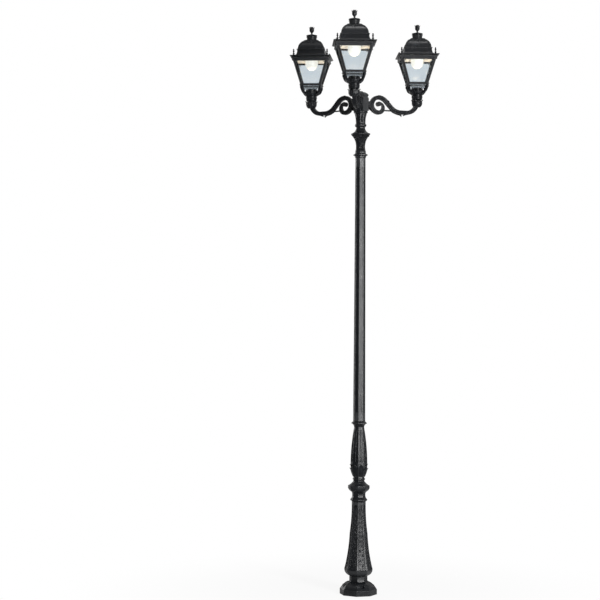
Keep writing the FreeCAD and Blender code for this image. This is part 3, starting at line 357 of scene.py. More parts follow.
def on_top_of(node):
    """The place of a casting that stands on a CAD node's top."""
    return raised(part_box(node)[1].z / MM)


FOOT_TOP, FOOT_NECK = 127, 126
SHOULDER, SHOULDER_Z = 150, 84
RIM, RIM_TOP = 258, 36
SEAT_R, SEAT_FLOOR, SEAT_CUT = 13, 52, 80       # the anchor nuts' seats, milled from above
ANCHOR_R = 100                                  # the anchors' distance from the axis

foot_side = over_arrises((122, 10), (RIM - 15, 10), (RIM - 15, 0), (RIM, 0), (RIM, RIM_TOP),
                         (252, RIM_TOP + 3), (SHOULDER, SHOULDER_Z, 6), (FOOT_NECK, 90, -3),
                         (FOOT_NECK, FOOT_TOP), (112, FOOT_TOP))
seats = bmesh.new()
bmesh.ops.create_cone(seats, cap_ends=True, segments=32, radius1=SEAT_R, radius2=SEAT_R, depth=SEAT_CUT,
                      matrix=Matrix.Translation((ANCHOR_R, 0, SEAT_FLOOR + SEAT_CUT / 2)))
foot_work = drilled(spun(foot_side), ringed(seats, 4, 22.5))
settled(foot_work, "foot_casting", "root", nodes=["foot"], edge=1.6)
fall = over_arrises((124, 104), (128, 92), (SHOULDER, SHOULDER_Z + 1, 4), (222, 56, -5))
foot_leaves = ringed(leaf(fall, 40, proud=4.5, curl=7, hand=-1, fold=0.42), 8, -90)
settled(foot_leaves, "foot_leaves", "root", fine=1)

# ---------------------------------------------------------------- pedestal and its door
# The hollow baluster over the foot, cast with a sunk panel in each flat, a roll moulding in
# each panel and a climbing flower stem in low relief. One flat has a screwed door in it, and
# the fuse box hangs on the core tube behind the door.

PANEL_FOOT, PANEL_HEAD = 46, 478            # heights of the sunk panels' ends
PANEL_FOOT_W, PANEL_HEAD_W = 50, 21
PANEL_FLOOR = 2.4                           # depth at which the relief stands
PANEL_RIM = 2
DOOR_FACE = 67.5                            # degrees from +X that the door looks
NEXT_FACE = 45                              # degrees from one flat to the next
pedestal_side = over_arrises((132, 0), (188, 62, 14), (124, 290, -5), (97, 507, -4))


def rolls(runs, radius, closed=False, taper=None):
    """Round mouldings of a radius along runs of points; taper gives each point's share of it."""
    data = bpy.data.curves.new("roll", "CURVE")
    data.dimensions, data.bevel_depth, data.bevel_resolution, data.use_fill_caps = "3D", radius, 2, True
    for run in runs:
        line = data.splines.new("POLY")
        line.points.add(len(run) - 1)
        line.use_cyclic_u = closed
        for i, (dot, place) in enumerate(zip(line.points, run)):
            dot.co = (*place, 1)
            dot.radius = taper(i / (len(run) - 1)) if taper else 1
    holder = shown("roll", data)
    work = worked_out(holder)
    bpy.data.objects.remove(holder)
    bpy.data.curves.remove(data)
    bmesh.ops.remove_doubles(work, verts=work.verts, dist=0.01)
    bmesh.ops.recalc_face_normals(work, faces=work.faces)
    return work


def rosette(radius, petals, height, place):
    """A flower that looks along +X: petals round a button."""
    work = bmesh.new()
    bmesh.ops.create_uvsphere(work, u_segments=10, v_segments=6, radius=1)
    bmesh.ops.scale(work, verts=work.verts, vec=(height, radius * 0.3, radius * 0.3))
    for i in range(petals):
        petal = bmesh.ops.create_uvsphere(work, u_segments=8, v_segments=6, radius=1)["verts"]
        bmesh.ops.scale(work, verts=petal, vec=(height * 0.7, radius * 0.42, radius * 1.6 / petals))
        bmesh.ops.translate(work, verts=petal, vec=(0, radius * 0.58, 0))
        facing = Matrix.Rotation(math.tau * i / petals, 3, "X")
        bmesh.ops.rotate(work, verts=petal, cent=(0, 0, 0), matrix=facing)
    bmesh.ops.translate(work, verts=work.verts, vec=place)
    return work


def reach_at(side, height):
    """How far a side stands from the axis at a height."""
    for low, high in zip(side, side[1:]):
        if low.y <= height <= high.y:
            return low.x + (high.x - low.x) * (height - low.y) / max(high.y - low.y, 1e-6)
    return side[-1].x


def spiral(radius, left, points, step, start=0.0):
    """(across, up) of points round a spiral that ends at a share of its radius."""
    for j in range(points):
        size = radius * (1 - (1 - left) * j / (points - 1))
        yield size * math.cos(step * j + start), size * math.sin(step * j + start)


def panel_half(height):
    """Half the sunk panel's width at a height."""
    share = (height - PANEL_FOOT) / (PANEL_HEAD - PANEL_FOOT)
    return (PANEL_FOOT_W + (PANEL_HEAD_W - PANEL_FOOT_W) * share) / 2


def on_panel(height, across, lift=0.0):
    """A place on the floor of the panel that looks along +X."""
    return Vector((reach_at(pedestal_side, height) - PANEL_FLOOR + lift, across, height))


def panel_roll(margin):
    """A roll just inside a panel's border, arched at both ends."""
    low, high, parts = PANEL_FOOT + PANEL_RIM + margin, PANEL_HEAD - PANEL_RIM - margin, 43
    run = []
    for i in range(parts + 1):
        height = low + (high - low) * i / parts
        half = panel_half(height) - margin
        near_end = min(min(height - low, high - height) / half, 1)
        half *= math.sqrt(max(0.0, 1 - (1 - near_end) ** 2))
        run.append(on_panel(height, half, 0.4))
    return run + [Vector((p.x, -p.y, p.z)) for p in run[::-1]][1:-1]


def stem_leaf(size, spot, lean):
    """A small leaf that lies on a panel, leaning from the stem."""
    blade = leaf([Vector((0, 0)), Vector((0.5, size * 0.4)), Vector((0, size))], size * 0.5,
                 lobes=2, proud=2.4, curl=1.5, across_parts=4, along_parts=8)
    blade.transform(Matrix.Translation(spot) @ Matrix.Rotation(lean, 4, "X") @ Matrix.Scale(0.8, 4))
    return blade


def climbing_stem():
    """The flower stem in one panel: a waving stem with curled shoots, leaves and flowers."""
    foot, head, wave, first_flower, flower_step = 62, 457, 72, 76, 32
    stem = []
    for height in range(foot, head + 1, 5):
        sway = 0.3 * math.sin(math.tau * (height - foot) / wave)
        stem.append(on_panel(height, sway * panel_half(height)))
    works = [rolls([stem], 1.5)]
    for i, height in enumerate(range(first_flower, head, flower_step)):
        hand, room = 1 if i % 2 else -1, panel_half(height) - 4
        shoot = []
        for across, up in spiral(room * 0.36, 0.3, 18, 0.4):
            shoot.append(on_panel(height + 8 + up, hand * (room * 0.45 - across)))
        works.append(rolls([shoot], 1.3, taper=lambda t: 1 - 0.4 * t))
        works.append(rosette(room * 0.27, 5, 2.6, on_panel(height + 8, hand * room * 0.52)))
        spot = on_panel(height - 4, -hand * room * 0.14, -0.6)
        works.extend(stem_leaf(size, spot, hand * lean) for lean, size in ((0.5, 26), (1.25, 20)))
    return gathered(*works)


def carved_panel():
    return gathered(rolls([panel_roll(1.6), panel_roll(5.4)], 1.2, closed=True), climbing_stem())


def parted(work, *heights):
    """Cuts the faces of a mesh along level lines."""
    for height in heights:
        bmesh.ops.bisect_plane(work, geom=work.verts[:] + work.edges[:] + work.faces[:],
                               plane_co=(0, 0, height), plane_no=(0, 0, 1))


def between(work, low, high, keep_inside):
    """The part of a relief between two heights, or the rest of it, closed where it is cut."""
    parted(work, low, high)
    lost = [face for face in work.faces if (low < face.calc_center_median().z < high) != keep_inside]
    bmesh.ops.delete(work, geom=lost, context="FACES")
    bmesh.ops.holes_fill(work, edges=[line for line in work.edges if line.is_boundary], sides=0)
    return work


dress(coating, "pedestal", "access_door")
on_foot = on_top_of("foot")
door_low, door_high = (corner.z / MM - FOOT_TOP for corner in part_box("access_door"))
whole_panels = ringed(carved_panel(), 7, DOOR_FACE + NEXT_FACE, NEXT_FACE)
settled(whole_panels, "pedestal_relief", "root", place=on_foot)
for name, body, on_door in (("relief_round_door", "root", False), ("door_relief", "access_door", True)):
    relief = between(carved_panel(), door_low, door_high, on_door)
    settled(ringed(relief, 1, DOOR_FACE), name, body, place=on_foot)


def steel_finish():
    finish, tree, shader, place = new_finish("stainless_screws")
    turned = grained(tree, place, 900.0, Low=0.2, High=0.8, Low_Colour=(0.16, 0.16, 0.17),
                     High_Colour=(0.26, 0.26, 0.27), Low_Roughness=0.24, High_Roughness=0.49)
    joined(tree, shader, Base_Color=turned["Colour"], Roughness=turned["Roughness"], Metallic=1.0)
    rough_surface(tree, shader, turned["Height"], 0.15, 0.0002, edge=0.0004)
    return finish


def plastic_finish():
    finish, tree, shader, place = new_finish("grey_moulded_plastic")
    spark = grained(tree, place, 800.0, Low_Colour=(0.2, 0.21, 0.22), High_Colour=(0.25, 0.26, 0.27))
    joined(tree, shader, Base_Color=spark["Colour"], Roughness=0.5)
    rough_surface(tree, shader, spark["Height"], 0.2, 0.0003, edge=0.001)
    return finish


steel, plastic = steel_finish(), plastic_finish()
dress(steel, "door_screw")
dress(plastic, "fuse_box")

# ---------------------------------------------------------------- knob
# A turned-looking but eight-sided casting that carries the vase: a ring at its foot, a wide
# knob and a bead, threaded on the core tube like all the castings above the pedestal.

BORE = 54                   # over the arrises of the hollow that the core tube goes through
knob_side = over_arrises((97, 0), (112, 9, -1.5), (112, 21, 3), (92, 50, -3), (104, 70, -2), (150, 95, 3),
                         (150, 113), (78, 143, -3), (78, 152), (84, 153), (84, 163, 1.5), (78, 164),
                         (76, 174), (BORE, 174), (BORE, 0))
settled(spun(knob_side), "knob_casting", "root", place=on_top_of("pedestal"), nodes=["knob"], edge=1.1)

# ---------------------------------------------------------------- vase
# The long fluted vase under the shaft. Eight leaves with curled tips stand round its foot,
# cast with it, and its tongue goes up into the shaft.

VASE_TOP, TONGUE_TOP = 384, 396
FLUTE_FOOT, FLUTE_HEAD = 100, 326
FLAT_MIDDLE = 22.5          # degrees from +X to the middle of a flat


def with_sunk_panels(work, foot_z, head_z, border, depth, reach):
    """Sinks a bordered panel between two heights into each flat that lies outside a radius."""
    parted(work, foot_z, head_z)
    for i in range(8):
        look = Matrix.Rotation(math.radians(FLAT_MIDDLE + NEXT_FACE * i), 3, "Z") @ Vector((1, 0, 0))
        flats = []
        for face in work.faces:
            middle = face.calc_center_median()
            outside = middle.dot(look) > reach and face.normal.dot(look) > 0.8
            if outside and foot_z < middle.z < head_z:
                flats.append(face)
        for thickness, sunk in ((border, 0), (1.6, -depth)):
            bmesh.ops.inset_region(work, faces=flats, thickness=thickness, depth=sunk, use_even_offset=True)
    return work


vase_outer = over_arrises((76, 0), (116, 90, 6), (70, 340, 5), (108, 366, -5), (108, 371), (84, VASE_TOP, -2))
tongue = over_arrises((54.8, VASE_TOP), (54.8, TONGUE_TOP)) + side_of((24.5, TONGUE_TOP), (24.5, 0))
vase_work = with_sunk_panels(spun(vase_outer + tongue), FLUTE_FOOT, FLUTE_HEAD, border=5.5, depth=3.2,
                             reach=30)
on_knob = on_top_of("knob")
settled(vase_work, "vase_casting", "root", place=on_knob, nodes=["vase"], edge=0.9)
cane = [Vector((reach_at(vase_outer, h) - 2.4, 0, h)) for h in range(FLUTE_FOOT + 8, FLUTE_HEAD - 6, 6)]
settled(ringed(rolls([cane], 3.4), 8, FLAT_MIDDLE), "vase_reeds", "root", place=on_knob)
belly = [p for p in vase_outer if 6 < p.y < 112]
settled(ringed(leaf(belly, 42, lobes=4, curl=9), 8, FLAT_MIDDLE), "vase_leaves", "root", place=on_knob,
        fine=1)
foot_stretch = [p for p in vase_outer if p.y < 66]
out_to_arris = Matrix.Diagonal((1 / FLAT_SHARE, 1 / FLAT_SHARE, 1, 1))
settled(ringed(leaf(foot_stretch, 26, proud=2.5, curl=5, fold=0.42), 8), "vase_small_leaves", "root",
        place=on_knob @ out_to_arris)

# ---------------------------------------------------------------- shaft, its ring, the capital and the neck
# The tapered shaft with a long round-ended flute in each flat, a flared ring, a bell-shaped
# capital with reeded flats and the neck that carries the hub, all slipped over the core tube.

RING_H, CAPITAL_H, CAPITAL_LIP, NECK_H = 34, 172, 128, 118

dress(coating, "shaft", "hub", "hub_cap")
ring_side = over_arrises((70, 0), (78, 6, -1), (78, 14), (101, 20), (101, 25), (74, RING_H, -1),
                         (BORE, RING_H), (BORE, 0))
settled(spun(ring_side), "shaft_ring_casting", "root", place=on_top_of("shaft"), nodes=["shaft_ring"],
        edge=1.0)

on_ring = on_top_of("shaft_ring")
capital_side = over_arrises((74, 0), (74, 12), (69, 20), (130, CAPITAL_LIP, -14), (130, 137, 2),
                            (62, CAPITAL_H, -7), (BORE, CAPITAL_H), (BORE, 0))
capital_work = with_sunk_panels(spun(capital_side), 30.8, 117.2, border=5, depth=2.2, reach=25)
settled(capital_work, "capital_casting", "root", place=on_ring, nodes=["capital"], edge=0.9)
bell = [p for p in capital_side if 30 < p.y < CAPITAL_LIP + 0.5]
settled(ringed(leaf(bell, 30, proud=3.0, curl=5), 8, FLAT_MIDDLE), "capital_leaves", "root", place=on_ring,
        fine=1)

on_capital = on_top_of("capital")
neck_side = over_arrises((62, 0), (68, 10, -1), (76, 14), (76, 28, 2), (68, 32, -1), (86, 104, -3), (94, 106),
                         (94, 116, 2), (90, NECK_H), (BORE, NECK_H), (BORE, 0))
settled(spun(neck_side), "neck_casting", "root", place=on_capital, nodes=["neck"], edge=1.0)
waist = [p for p in neck_side if 36 < p.y < 100]
settled(ringed(leaf(waist, 24, proud=2.5, curl=4), 8, FLAT_MIDDLE), "neck_leaves", "root", place=on_capital,
        fine=1)

# ---------------------------------------------------------------- arms
# Three S-scroll arms bolted to the flats of the hub. Each is one casting: a grooved bar that
# rolls into a volute, a link across it, and a leafed cup whose hollow spigot takes the lantern.

ARMS = {"front": -90, "right": 30, "left": 150}     # degrees from +X that each arm points
ARM_Z, CUP_TOP, REACH = 3376, 3442, 430
SCROLL_X, SCROLL_EYE_Z, BAR_TOP_Z = 134, 7, 52      # from the column's axis, and above ARM_Z
BAR_FACE = 13.5                                     # from the bar's middle line to its edge
BAR = [(75, -46), (59, 0), (100, 46), (24.6, 0), (84, 90)]      # radius and turn, or length and 0
STRETCH_PARTS = 8


def softened(node, name, body, cell, rounds):
    """A CAD casting with its inner corners filled and its edges rounded, as sand casting leaves them."""
    work = bmesh.new()
    work.from_mesh(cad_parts[node].data)
    bmesh.ops.remove_doubles(work, verts=work.verts, dist=0.00002)
    piece = coated(work, name)
    skin = piece.modifiers.new("cast_skin", "REMESH")
    skin.mode, skin.voxel_size, skin.use_smooth_shade = "VOXEL", cell * MM, True
    ease = piece.modifiers.new("cast_corners", "SMOOTH")
    ease.factor, ease.iterations = 0.5, rounds
    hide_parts(node)
    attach(piece, body)
    return piece


def bent(start, stretches):
    """Points (place, direction) along a bar that leaves level, of straight and curved stretches."""
    place, angle = Vector(start), 0.0
    chain = [(place.copy(), angle)]
    for size, turn in stretches:
        part = math.radians(turn) / STRETCH_PARTS
        step = size * abs(part) if turn else size / STRETCH_PARTS
        for i in range(STRETCH_PARTS):
            middle = angle + part / 2
            place = place + Vector((math.cos(middle), math.sin(middle))) * step
            angle += part
            chain.append((place.copy(), angle))
    return chain


arm_line = bent((SCROLL_X, BAR_TOP_Z), BAR)


def off_bar(first, last, by):
    """The bar's middle line between two of its points, moved to one side."""
    sideways = [Vector((-math.sin(angle), math.cos(angle))) for place, angle in arm_line]
    return [arm_line[i][0] + sideways[i] * by for i in range(first, last)]


def cup_leaves():
    """Eight leaves that stand round the cup under the lantern."""
    bowl = side_of((20, -64), (34, -34, 5), (37.5, -14, -1))
    work = ringed(leaf(bowl, 32, proud=3.6, curl=4.5), 8)
    bmesh.ops.translate(work, verts=work.verts, vec=(REACH, 0, CUP_TOP - ARM_Z))
    return work


def scroll_works():
    """The flowers on the volute's eye, and the leaves over, under and inside the bar."""
    works = []
    for hand in (-1, 1):
        flower = rosette(15, petals=8, height=4.5, place=(0, 0, 0))
        eye = Matrix.Translation((SCROLL_X, hand * 17, SCROLL_EYE_Z))
        flower.transform(eye @ Matrix.Rotation(hand * math.pi / 2, 4, "Z"))
        works.append(flower)
    works.append(leaf(off_bar(17, 29, -BAR_FACE), 34, lobes=4, curl=8))
    works.append(leaf(off_bar(0, 12, BAR_FACE), 30, lobes=4, proud=3.5, curl=7, hand=-1))
    works.append(leaf(off_bar(30, 39, -BAR_FACE)[::-1], 32, hand=-1))
    inner_bend = [Vector((64, -20)), Vector((72, -34)), Vector((90, -44))]
    works.append(leaf(inner_bend, 26, lobes=2, proud=3.0, curl=5))
    return works


for side, angle in ARMS.items():
    softened(side + "_arm", side + "_arm_casting", "root", cell=1.5, rounds=5)
    around = Matrix.Rotation(math.radians(angle), 4, "Z") @ raised(ARM_Z)
    settled(gathered(cup_leaves(), *scroll_works()), side + "_arm_leaves", "root", place=around)
dress(steel, "arm_bolts")

# ---------------------------------------------------------------- cradles
# The lantern's four curved legs on a collar with three set screws. A leaf stands on each
# saddle between the legs, and a ball ends each leg under the glass frame's corner.

LANTERN_TURN = {"front": 9, "right": 9, "left": 3}      # degrees from square to the column
BEAD_R, BEAD_HEIGHTS = 38.2, (3, 22)


def at_lantern(side):
    """The place of a lantern, whose axis is +Z and whose collar starts at 0."""
    angle = math.radians(ARMS[side])
    place = Matrix.Translation((REACH * math.cos(angle), REACH * math.sin(angle), CUP_TOP))
    return place @ Matrix.Rotation(math.radians(LANTERN_TURN[side]), 4, "Z")


def collar_ring(height, points=48):
    turns = [math.tau * i / points for i in range(points)]
    return [Vector((BEAD_R * math.cos(turn), BEAD_R * math.sin(turn), height)) for turn in turns]


for side in ARMS:
    softened(side + "_cradle", side + "_cradle_casting", side + "_lantern", cell=1.2, rounds=4)
    crest = leaf(side_of((36, 22), (54, 44, 5), (57, 55, 1)), 34, proud=3.4, curl=4)
    beads = rolls([collar_ring(height) for height in BEAD_HEIGHTS], 1.6, closed=True)
    crown = gathered(ringed(crest, 4), beads)
    settled(crown, side + "_cradle_leaves", side + "_lantern", place=at_lantern(side))
    dress(steel, side + "_set_screws")

# ---------------------------------------------------------------- glass frames
# The tapered frame, cast with reeded rails, rounded corner bars, a ball on a scroll in every
# corner of the upper rail and a ball at each end of the lower one. A clear bowl hangs in it
# by its flange on a soft black seal.

FRAME_FOOT, FRAME_HEAD = 87, 279
FRAME_FOOT_HALF, FRAME_HEAD_HALF = 68, 125
UPPER_REEDS, LOWER_REEDS = (260, 267, 274), (91, 97)
CURL_Z, STALK_Z = 250, 266


def frame_half(height):
    """Half the frame's width at a height."""
    share = (height - FRAME_FOOT) / (FRAME_HEAD - FRAME_FOOT)
    return FRAME_FOOT_HALF + (FRAME_HEAD_HALF - FRAME_FOOT_HALF) * share


def on_frame(height, across, lift=0.0):
    """A place on the side of the frame that looks along +X."""
    return Vector((frame_half(height) + lift, across, height))


def frame_reed(height, short, lift):
    """A reed across a rail, which ends a little short of the corners."""
    half = frame_half(height) - short
    return [on_frame(height, -half, lift), on_frame(height, half, lift)]


def corner_works(hand):
    """What is cast on one end of the rails: the flower with its ball, the curl and the sprig."""
    works = []
    upper, lower = frame_half(262) - 17, frame_half(95) - 12
    for height, across, size in ((264, upper, 8.5), (95, lower, 7.5)):
        works.append(rosette(size, 6, 4.0, on_frame(height, hand * across, 4)))
        ball = bmesh.new()
        bmesh.ops.create_uvsphere(ball, u_segments=16, v_segments=10, radius=size * 0.45)
        bmesh.ops.translate(ball, verts=ball.verts, vec=on_frame(height, hand * across, 7))
        works.append(ball)
    middle = frame_half(CURL_Z) - 21
    curl = []
    for across, up in spiral(8.5, 0.2, 22, 0.32, -0.5):
        curl.append(on_frame(CURL_Z + up, hand * (middle + across), 0.5))
    works.append(rolls([curl], 2.6, taper=lambda t: 1 - 0.45 * t))
    stalk = []
    for i in range(9):
        sag = 4 * math.sin(math.pi * i / 8)
        stalk.append(on_frame(STALK_Z - sag, hand * (upper - 10 - 4 * i), 4))
    works.append(rolls([stalk], 3.0, taper=lambda t: 1.1 - 0.8 * t))
    blade = leaf([Vector((0, 0)), Vector((1.5, 12)), Vector((0, 26))], 13, proud=2.4, curl=2,
                 across_parts=6, along_parts=12)
    spot = Matrix.Translation(on_frame(STALK_Z, hand * (upper - 8), 2))
    blade.transform(spot @ Matrix.Rotation(hand * 1.5, 4, "X"))
    works.append(blade)
    return works


def frame_works():
    """All that is cast on the frame: rails, corners and bars, the same on each of its four sides."""
    reeds = [frame_reed(height, 22, 4) for height in UPPER_REEDS]
    reeds += [frame_reed(height, 18, 3) for height in LOWER_REEDS]
    rails = ringed(gathered(rolls(reeds, 2.0), *corner_works(-1), *corner_works(1)), 4)
    corners = [[Vector((frame_half(z) - 2.5, frame_half(z) - 2.5, z)) for z in (FRAME_FOOT, 262)]]
    corners.append([Vector((frame_half(z) + 0.5, frame_half(z) - 12, z)) for z in (102, 255)])
    corners.append([Vector((frame_half(z) - 12, frame_half(z) + 0.5, z)) for z in (102, 255)])
    return gathered(rails, ringed(rolls(corners, 3.4), 4))


for side in ARMS:
    dress(coating, side + "_glass_frame")
    dress(steel, side + "_hinge_pin")
    settled(frame_works(), side + "_frame_ornament", side + "_lantern", place=at_lantern(side))


def glazing_finish():
    finish, tree, shader, place = new_finish("clear_glazing")
    wave = grained(tree, place, 9.0, 1.0)["Height"]
    joined(tree, shader, Base_Color=(0.745, 0.795, 0.83), Roughness=0.03, IOR=1.45, Transmission_Weight=1.0)
    rough_surface(tree, shader, wave, 0.05, 0.001)
    clear = wired(tree, "BsdfTransparent", Color=(0.88, 0.92, 0.94)).outputs[0]
    lamp_ray = wired(tree, "LightPath").outputs["Is Shadow Ray"]
    both = wired(tree, "MixShader", i0=lamp_ray, i1=shader.outputs[0], i2=clear)
    tree.links.new(both.outputs[0], tree.nodes["Material Output"].inputs["Surface"])
    return finish


def rubber_finish():
    finish, tree, shader, place = new_finish("black_rubber_seal")
    bloom = grained(tree, place, 150.0, 3.0, Low_Colour=(0.012, 0.012, 0.012),
                    High_Colour=(0.022, 0.022, 0.022))
    joined(tree, shader, Base_Color=bloom["Colour"], Roughness=0.8)
    rough_surface(tree, shader, bloom["Height"], 0.2, 0.0003)
    return finish


glass, rubber = glazing_finish(), rubber_finish()
for side in ARMS:
    dress(glass, side + "_glazing")
    dress(rubber, side + "_gasket")

# ---------------------------------------------------------------- roofs
# Each roof is one casting: an eave, a coved skirt and a bulging dome with an arched rib in each
# face, a shell of leaves at each face's top, and at the back the knuckle that its pin goes through.
# A lid with a tulip finial closes its neck pipe, and four turned spires are screwed to the eave.

DOME = ((89, 341), (53, 404, 9), (34.5, 413, 2))
dome_side = side_of(*DOME)
PIPE_R, PIPE_TOP = 34.5, 435
PIN_Y, PIN_Z, KNUCKLE_L, KNUCKLE_R = 137, 276, 43, 5.5


def roof_casting():
    """The roof's shell with its neck pipe and the hinge's knuckle."""
    outer = side_of((134, 284), (143, 288), (143, 292), (103, 292), (103, 298, 1.5), (95, 336, -3), (97, 338),
                    (97, 341), *DOME)
    inner = side_of((28, 409), (49, 400), (85, 341, -9), (91, 339), (99, 284))
    pipe = side_of((29, 400), (PIPE_R, 400), (PIPE_R, PIPE_TOP), (30.5, PIPE_TOP))
    barrel = bmesh.new()
    on_pin = Matrix.Translation((0, PIN_Y, PIN_Z)) @ Matrix.Rotation(math.pi / 2, 4, "Y")
    bmesh.ops.create_cone(barrel, cap_ends=True, segments=32, radius1=KNUCKLE_R, radius2=KNUCKLE_R,
                          depth=KNUCKLE_L, matrix=on_pin)
    hanger = bmesh.new()
    bmesh.ops.create_cube(hanger, size=1)
    bmesh.ops.scale(hanger, verts=hanger.verts, vec=(KNUCKLE_L, 5.5, 12))
    bmesh.ops.translate(hanger, verts=hanger.verts, vec=(0, PIN_Y + 2.6, PIN_Z + 6))
    return gathered(spun(outer + inner, 4, 45), spun(pipe, 48, 0), barrel, hanger)


def on_dome(height, across, lift=0.6):
    """A place on the dome's face that looks along +X."""
    return Vector((reach_at(dome_side, height) + lift, across, height))


def arched_rib():
    """The rib's line, up one side of a face, over its top and down the other."""
    low, high, rise, parts = 343, 393, 9, 16
    leg = []
    for i in range(parts + 1):
        height = low + (high - low) * i / parts
        leg.append(on_dome(height, reach_at(dome_side, height) - 5 - 7 * (i / parts) ** 3))
    crown = []
    for i in range(1, parts):
        turn = math.pi * i / parts
        crown.append(on_dome(high + rise * math.sin(turn), leg[-1].y * math.cos(turn)))
    return leg + crown + [Vector((p.x, -p.y, p.z)) for p in leg[::-1]]


def shell_leaf(spread, length, width):
    """One leaf of the shell at a face's top, fanned out by an angle and leant with the dome."""
    blade = leaf([Vector((0, 0)), Vector((2, length * 0.5)), Vector((0, length))], width,
                 lobes=2, proud=3.0, curl=3, across_parts=6, along_parts=12)
    spot = Matrix.Translation((reach_at(dome_side, 401) + 2, 0, 400))
    blade.transform(spot @ Matrix.Rotation(-0.62, 4, "Y") @ Matrix.Rotation(math.pi + spread, 4, "X"))
    return blade


def roof_works():
    """The arched rib, the skirt's mouldings, the shell and its two curls on one face, for all four."""
    rib = arched_rib()
    inside = [Vector((p.x - 0.6, p.y * 0.93, p.z - 2)) for p in rib]
    mouldings = []
    for out, half, height in ((96.5, 97, 338.5), (103.5, 104, 299)):
        mouldings.append([Vector((out, -half, height)), Vector((out, half, height))])
    works = [rolls([rib], 2.9), rolls([inside], 1.5), rolls(mouldings, 2.2)]
    for spread, length, width in ((0, 30, 16), (-0.8, 24, 14), (0.8, 24, 14), (-1.5, 20, 11), (1.5, 20, 11)):
        works.append(shell_leaf(spread, length, width))
    for hand in (-1, 1):
        curl = [on_dome(396 + up, hand * (15 - across), 1.5) for across, up in spiral(8.5, 0.2, 20, 0.36)]
        works.append(rolls([curl], 2.0))
    return ringed(gathered(*works), 4)


def lid_casting():
    return spun(side_of((0, 433), (38, 433), (38, 436), (36, 437), (36, 441), (38, 443), (38, 446, 1),
                        (34, 449.5, 1.5), (14, 453, 1), (8, 454.5), (0, 454.5)), 64, 0)


def tulip_casting():
    """The stem with its beads, and six petals that stand together and curl out at the lip."""
    stem = spun(side_of((0, 454), (10, 454), (9, 457, 1), (5, 459), (4.5, 463), (8, 466, 1), (8, 468, 1),
                        (5, 471), (6, 474), (12, 482, 1.5), (13.5, 492, 1), (11, 503, 1), (0, 508, 2)), 32, 0)
    petal = leaf(side_of((6, 470), (14.5, 484, 2.5), (15, 498, -0.5), (16.5, 507)), 21,
                 lobes=1, proud=1.8, curl=2.0)
    inner = leaf(side_of((6, 470), (12, 484, 2), (11.5, 500), (9.5, 509)), 16,
                 lobes=1, proud=1.8, curl=0.5)
    return gathered(stem, ringed(petal, 6), ringed(inner, 6, 30))


def spires():
    """Four turned spires, one near each corner of the eave."""
    from_axis = 117
    spire = spun(side_of((0, 291), (8, 291), (8, 295), (6.5, 296), (6.5, 303), (7.5, 304), (7.5, 306, 0.5),
                         (4, 308), (3.5, 313), (6, 317, 0.8), (6.4, 321, 0.5), (4, 325), (4, 326.5),
                         (5.2, 330, 0.8), (3, 335, 0.8), (0, 338, 0.5)), 24, 0)
    bmesh.ops.translate(spire, verts=spire.verts, vec=(from_axis, from_axis, 0))
    return ringed(spire, 4)


for side in ARMS:
    here, rides = at_lantern(side), side + "_roof"
    settled(roof_casting(), side + "_roof_casting", rides, place=here, nodes=[side + "_roof"], edge=1.2)
    settled(roof_works(), side + "_roof_ornament", rides, place=here)
    settled(lid_casting(), side + "_lid_casting", rides, place=here, nodes=[side + "_vent_lid"])
    settled(tulip_casting(), side + "_tulip", rides, place=here, nodes=[side + "_tulip_finial"])
    settled(spires(), side + "_spires", rides, place=here, nodes=[side + "_corner_finials"])

# ---------------------------------------------------------------- reflectors, lamp holders and bulbs
# A pressed tray in cream enamel under each roof, a glazed ceramic holder on its well and a
# screw-base globe of opal glass, lit warm white.


def enamel_finish():
    finish, tree, shader, place = new_finish("cream_reflector_enamel")
    peel = grained(tree, place, 260.0)["Height"]
    cloud = grained(tree, place, 12.0, Low=0.2, High=0.8, Low_Colour=(0.74, 0.69, 0.60),
                    High_Colour=(0.80, 0.76, 0.68))
    joined(tree, shader, Base_Color=cloud["Colour"], Roughness=0.35)
    rough_surface(tree, shader, peel, 0.12, 0.0003, edge=0.001)
    return finish


def ceramic_finish():
    finish, tree, shader, place = new_finish("white_glazed_ceramic")
    flow = grained(tree, place, 60.0, Low=0.2, High=0.8, Low_Colour=(0.78, 0.77, 0.73),
                   High_Colour=(0.86, 0.85, 0.82))
    joined(tree, shader, Base_Color=flow["Colour"], Roughness=0.18)
    rough_surface(tree, shader, flow["Height"], 0.1, 0.0006, edge=0.001)
    return finish


def opal_finish():
    finish, tree, shader, place = new_finish("lit_opal_bulb")
    coat = grained(tree, place, 30.0, Low=0.2, High=0.8, Low_Colour=(1.0, 0.93, 0.80),
                   High_Colour=(1.0, 0.95, 0.85))
    joined(tree, shader, Base_Color=(0.3, 0.29, 0.27), Roughness=0.25, Emission_Color=coat["Colour"],
           Emission_Strength=0.9)
    return finish


enamel, ceramic, opal = enamel_finish(), ceramic_finish(), opal_finish()
for side in ARMS:
    dress(enamel, side + "_reflector")
    dress(ceramic, side + "_lamp_holder")
    dress(opal, side + "_bulb")

# ---------------------------------------------------------------- studio
# A plain pale floor, a white surround, three soft panels and the glow of each lantern, with the
# camera where the photograph was taken from: a little to the right, through a long lens.

GLOW_Z = 165                # above each lantern's foot, just under its bulb
BASE_LEVEL = 0.2            # the surround's level for rays that light the post


def soft_panel(name, size, power, place, target):
    data = bpy.data.lights.new(name, "AREA")
    data.shape, data.size, data.size_y, data.energy = "RECTANGLE", *size, power
    lamp = shown(name, data)
    lamp.location = place
    lamp.rotation_euler = (Vector(target) - Vector(place)).to_track_quat("-Z", "Y").to_euler()


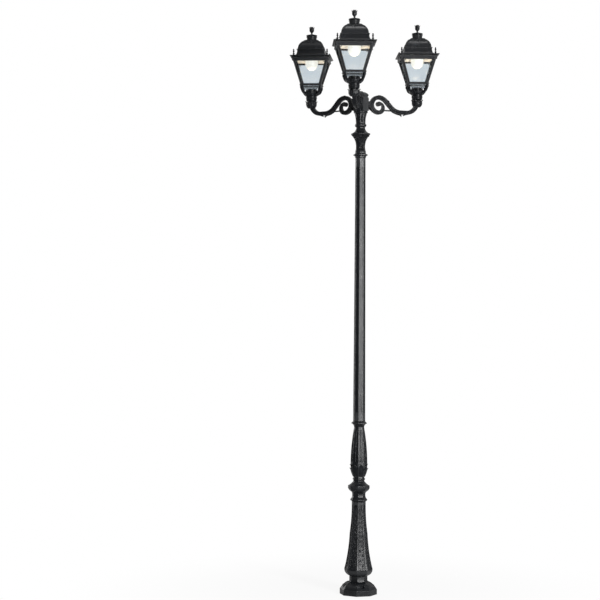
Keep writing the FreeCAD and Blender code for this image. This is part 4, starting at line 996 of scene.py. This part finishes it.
soft_panel("right_strip", (1.2, 4.4), 760, (5.0, -6.3, 2.7), (0, 0, 2.3))
soft_panel("left_strip", (0.8, 4.0), 60, (-5.6, 5.6, 2.7), (0, 0, 2.2))
soft_panel("top_panel", (1.2, 1.2), 75, (0.5, -1.5, 7.5), (0, 0, 3.0))
for side in ARMS:
    lamp = bpy.data.lights.new(side + "_lamp_glow", "POINT")
    lamp.energy, lamp.shadow_soft_size, lamp.color = 1.8, 0.03, (1.0, 0.78, 0.56)
    glow = shown(side + "_lamp_glow", lamp)
    glow.visible_glossy = glow.visible_transmission = False
    glow.location = (at_lantern(side).translation + Vector((0, 0, GLOW_Z))) * MM

surround = bpy.data.worlds.new("white_surround")
bpy.context.scene.world = surround
surround.use_nodes = True
tree = surround.node_tree
path = wired(tree, "LightPath").outputs
mirrored = wired(tree, "Math", {"operation": "MULTIPLY"}, i0=path["Is Glossy Ray"], i1=0.4).outputs[0]
seen = path["Is Camera Ray"]
for ray in (path["Is Transmission Ray"], mirrored):
    seen = wired(tree, "Math", {"operation": "MAXIMUM"}, i0=seen, i1=ray).outputs[0]
level = wired(tree, "Math", {"operation": "MULTIPLY_ADD"}, i0=seen, i1=1 - BASE_LEVEL,
              i2=BASE_LEVEL).outputs[0]
joined(tree, tree.nodes["Background"], Color=(1, 1, 1), Strength=level)

floor_mesh = bmesh.new()
bmesh.ops.create_grid(floor_mesh, x_segments=1, y_segments=1, size=20)
floor = shown("floor", as_data(floor_mesh, "floor"))
floor.location.z = -0.0005
pale, tree, shader, place = new_finish("pale_floor")
joined(tree, shader, Base_Color=(0.9, 0.9, 0.9), Roughness=0.9)
lift = wired(tree, "Emission", Color=(1, 1, 1), Strength=1.0).outputs[0]
spread = wired(tree, "VectorMath", {"operation": "LENGTH"}, i0=place).outputs["Value"]
bare = wired(tree, "MapRange", {"interpolation_type": "SMOOTHSTEP"}, Value=spread, From_Min=0.3, From_Max=2.2,
             To_Min=0.9, To_Max=1.0).outputs[0]
camera_ray = wired(tree, "LightPath").outputs["Is Camera Ray"]
share = wired(tree, "Math", {"operation": "MULTIPLY"}, i0=camera_ray, i1=bare).outputs[0]
both = wired(tree, "MixShader", i0=share, i1=shader.outputs[0], i2=lift)
tree.links.new(both.outputs[0], tree.nodes["Material Output"].inputs["Surface"])
floor.data.materials.append(pale)

camera_data = bpy.data.cameras.new("camera")
camera_data.lens, camera_data.sensor_width = 100.9, 36.0
camera = shown("camera", camera_data)
camera.location = (1.21, -11.54, 1.98)
camera.rotation_euler = (math.radians(90.21), math.radians(-0.30), math.radians(8.02))
bpy.context.scene.camera = camera
bpy.context.scene.view_settings.view_transform = "Standard"
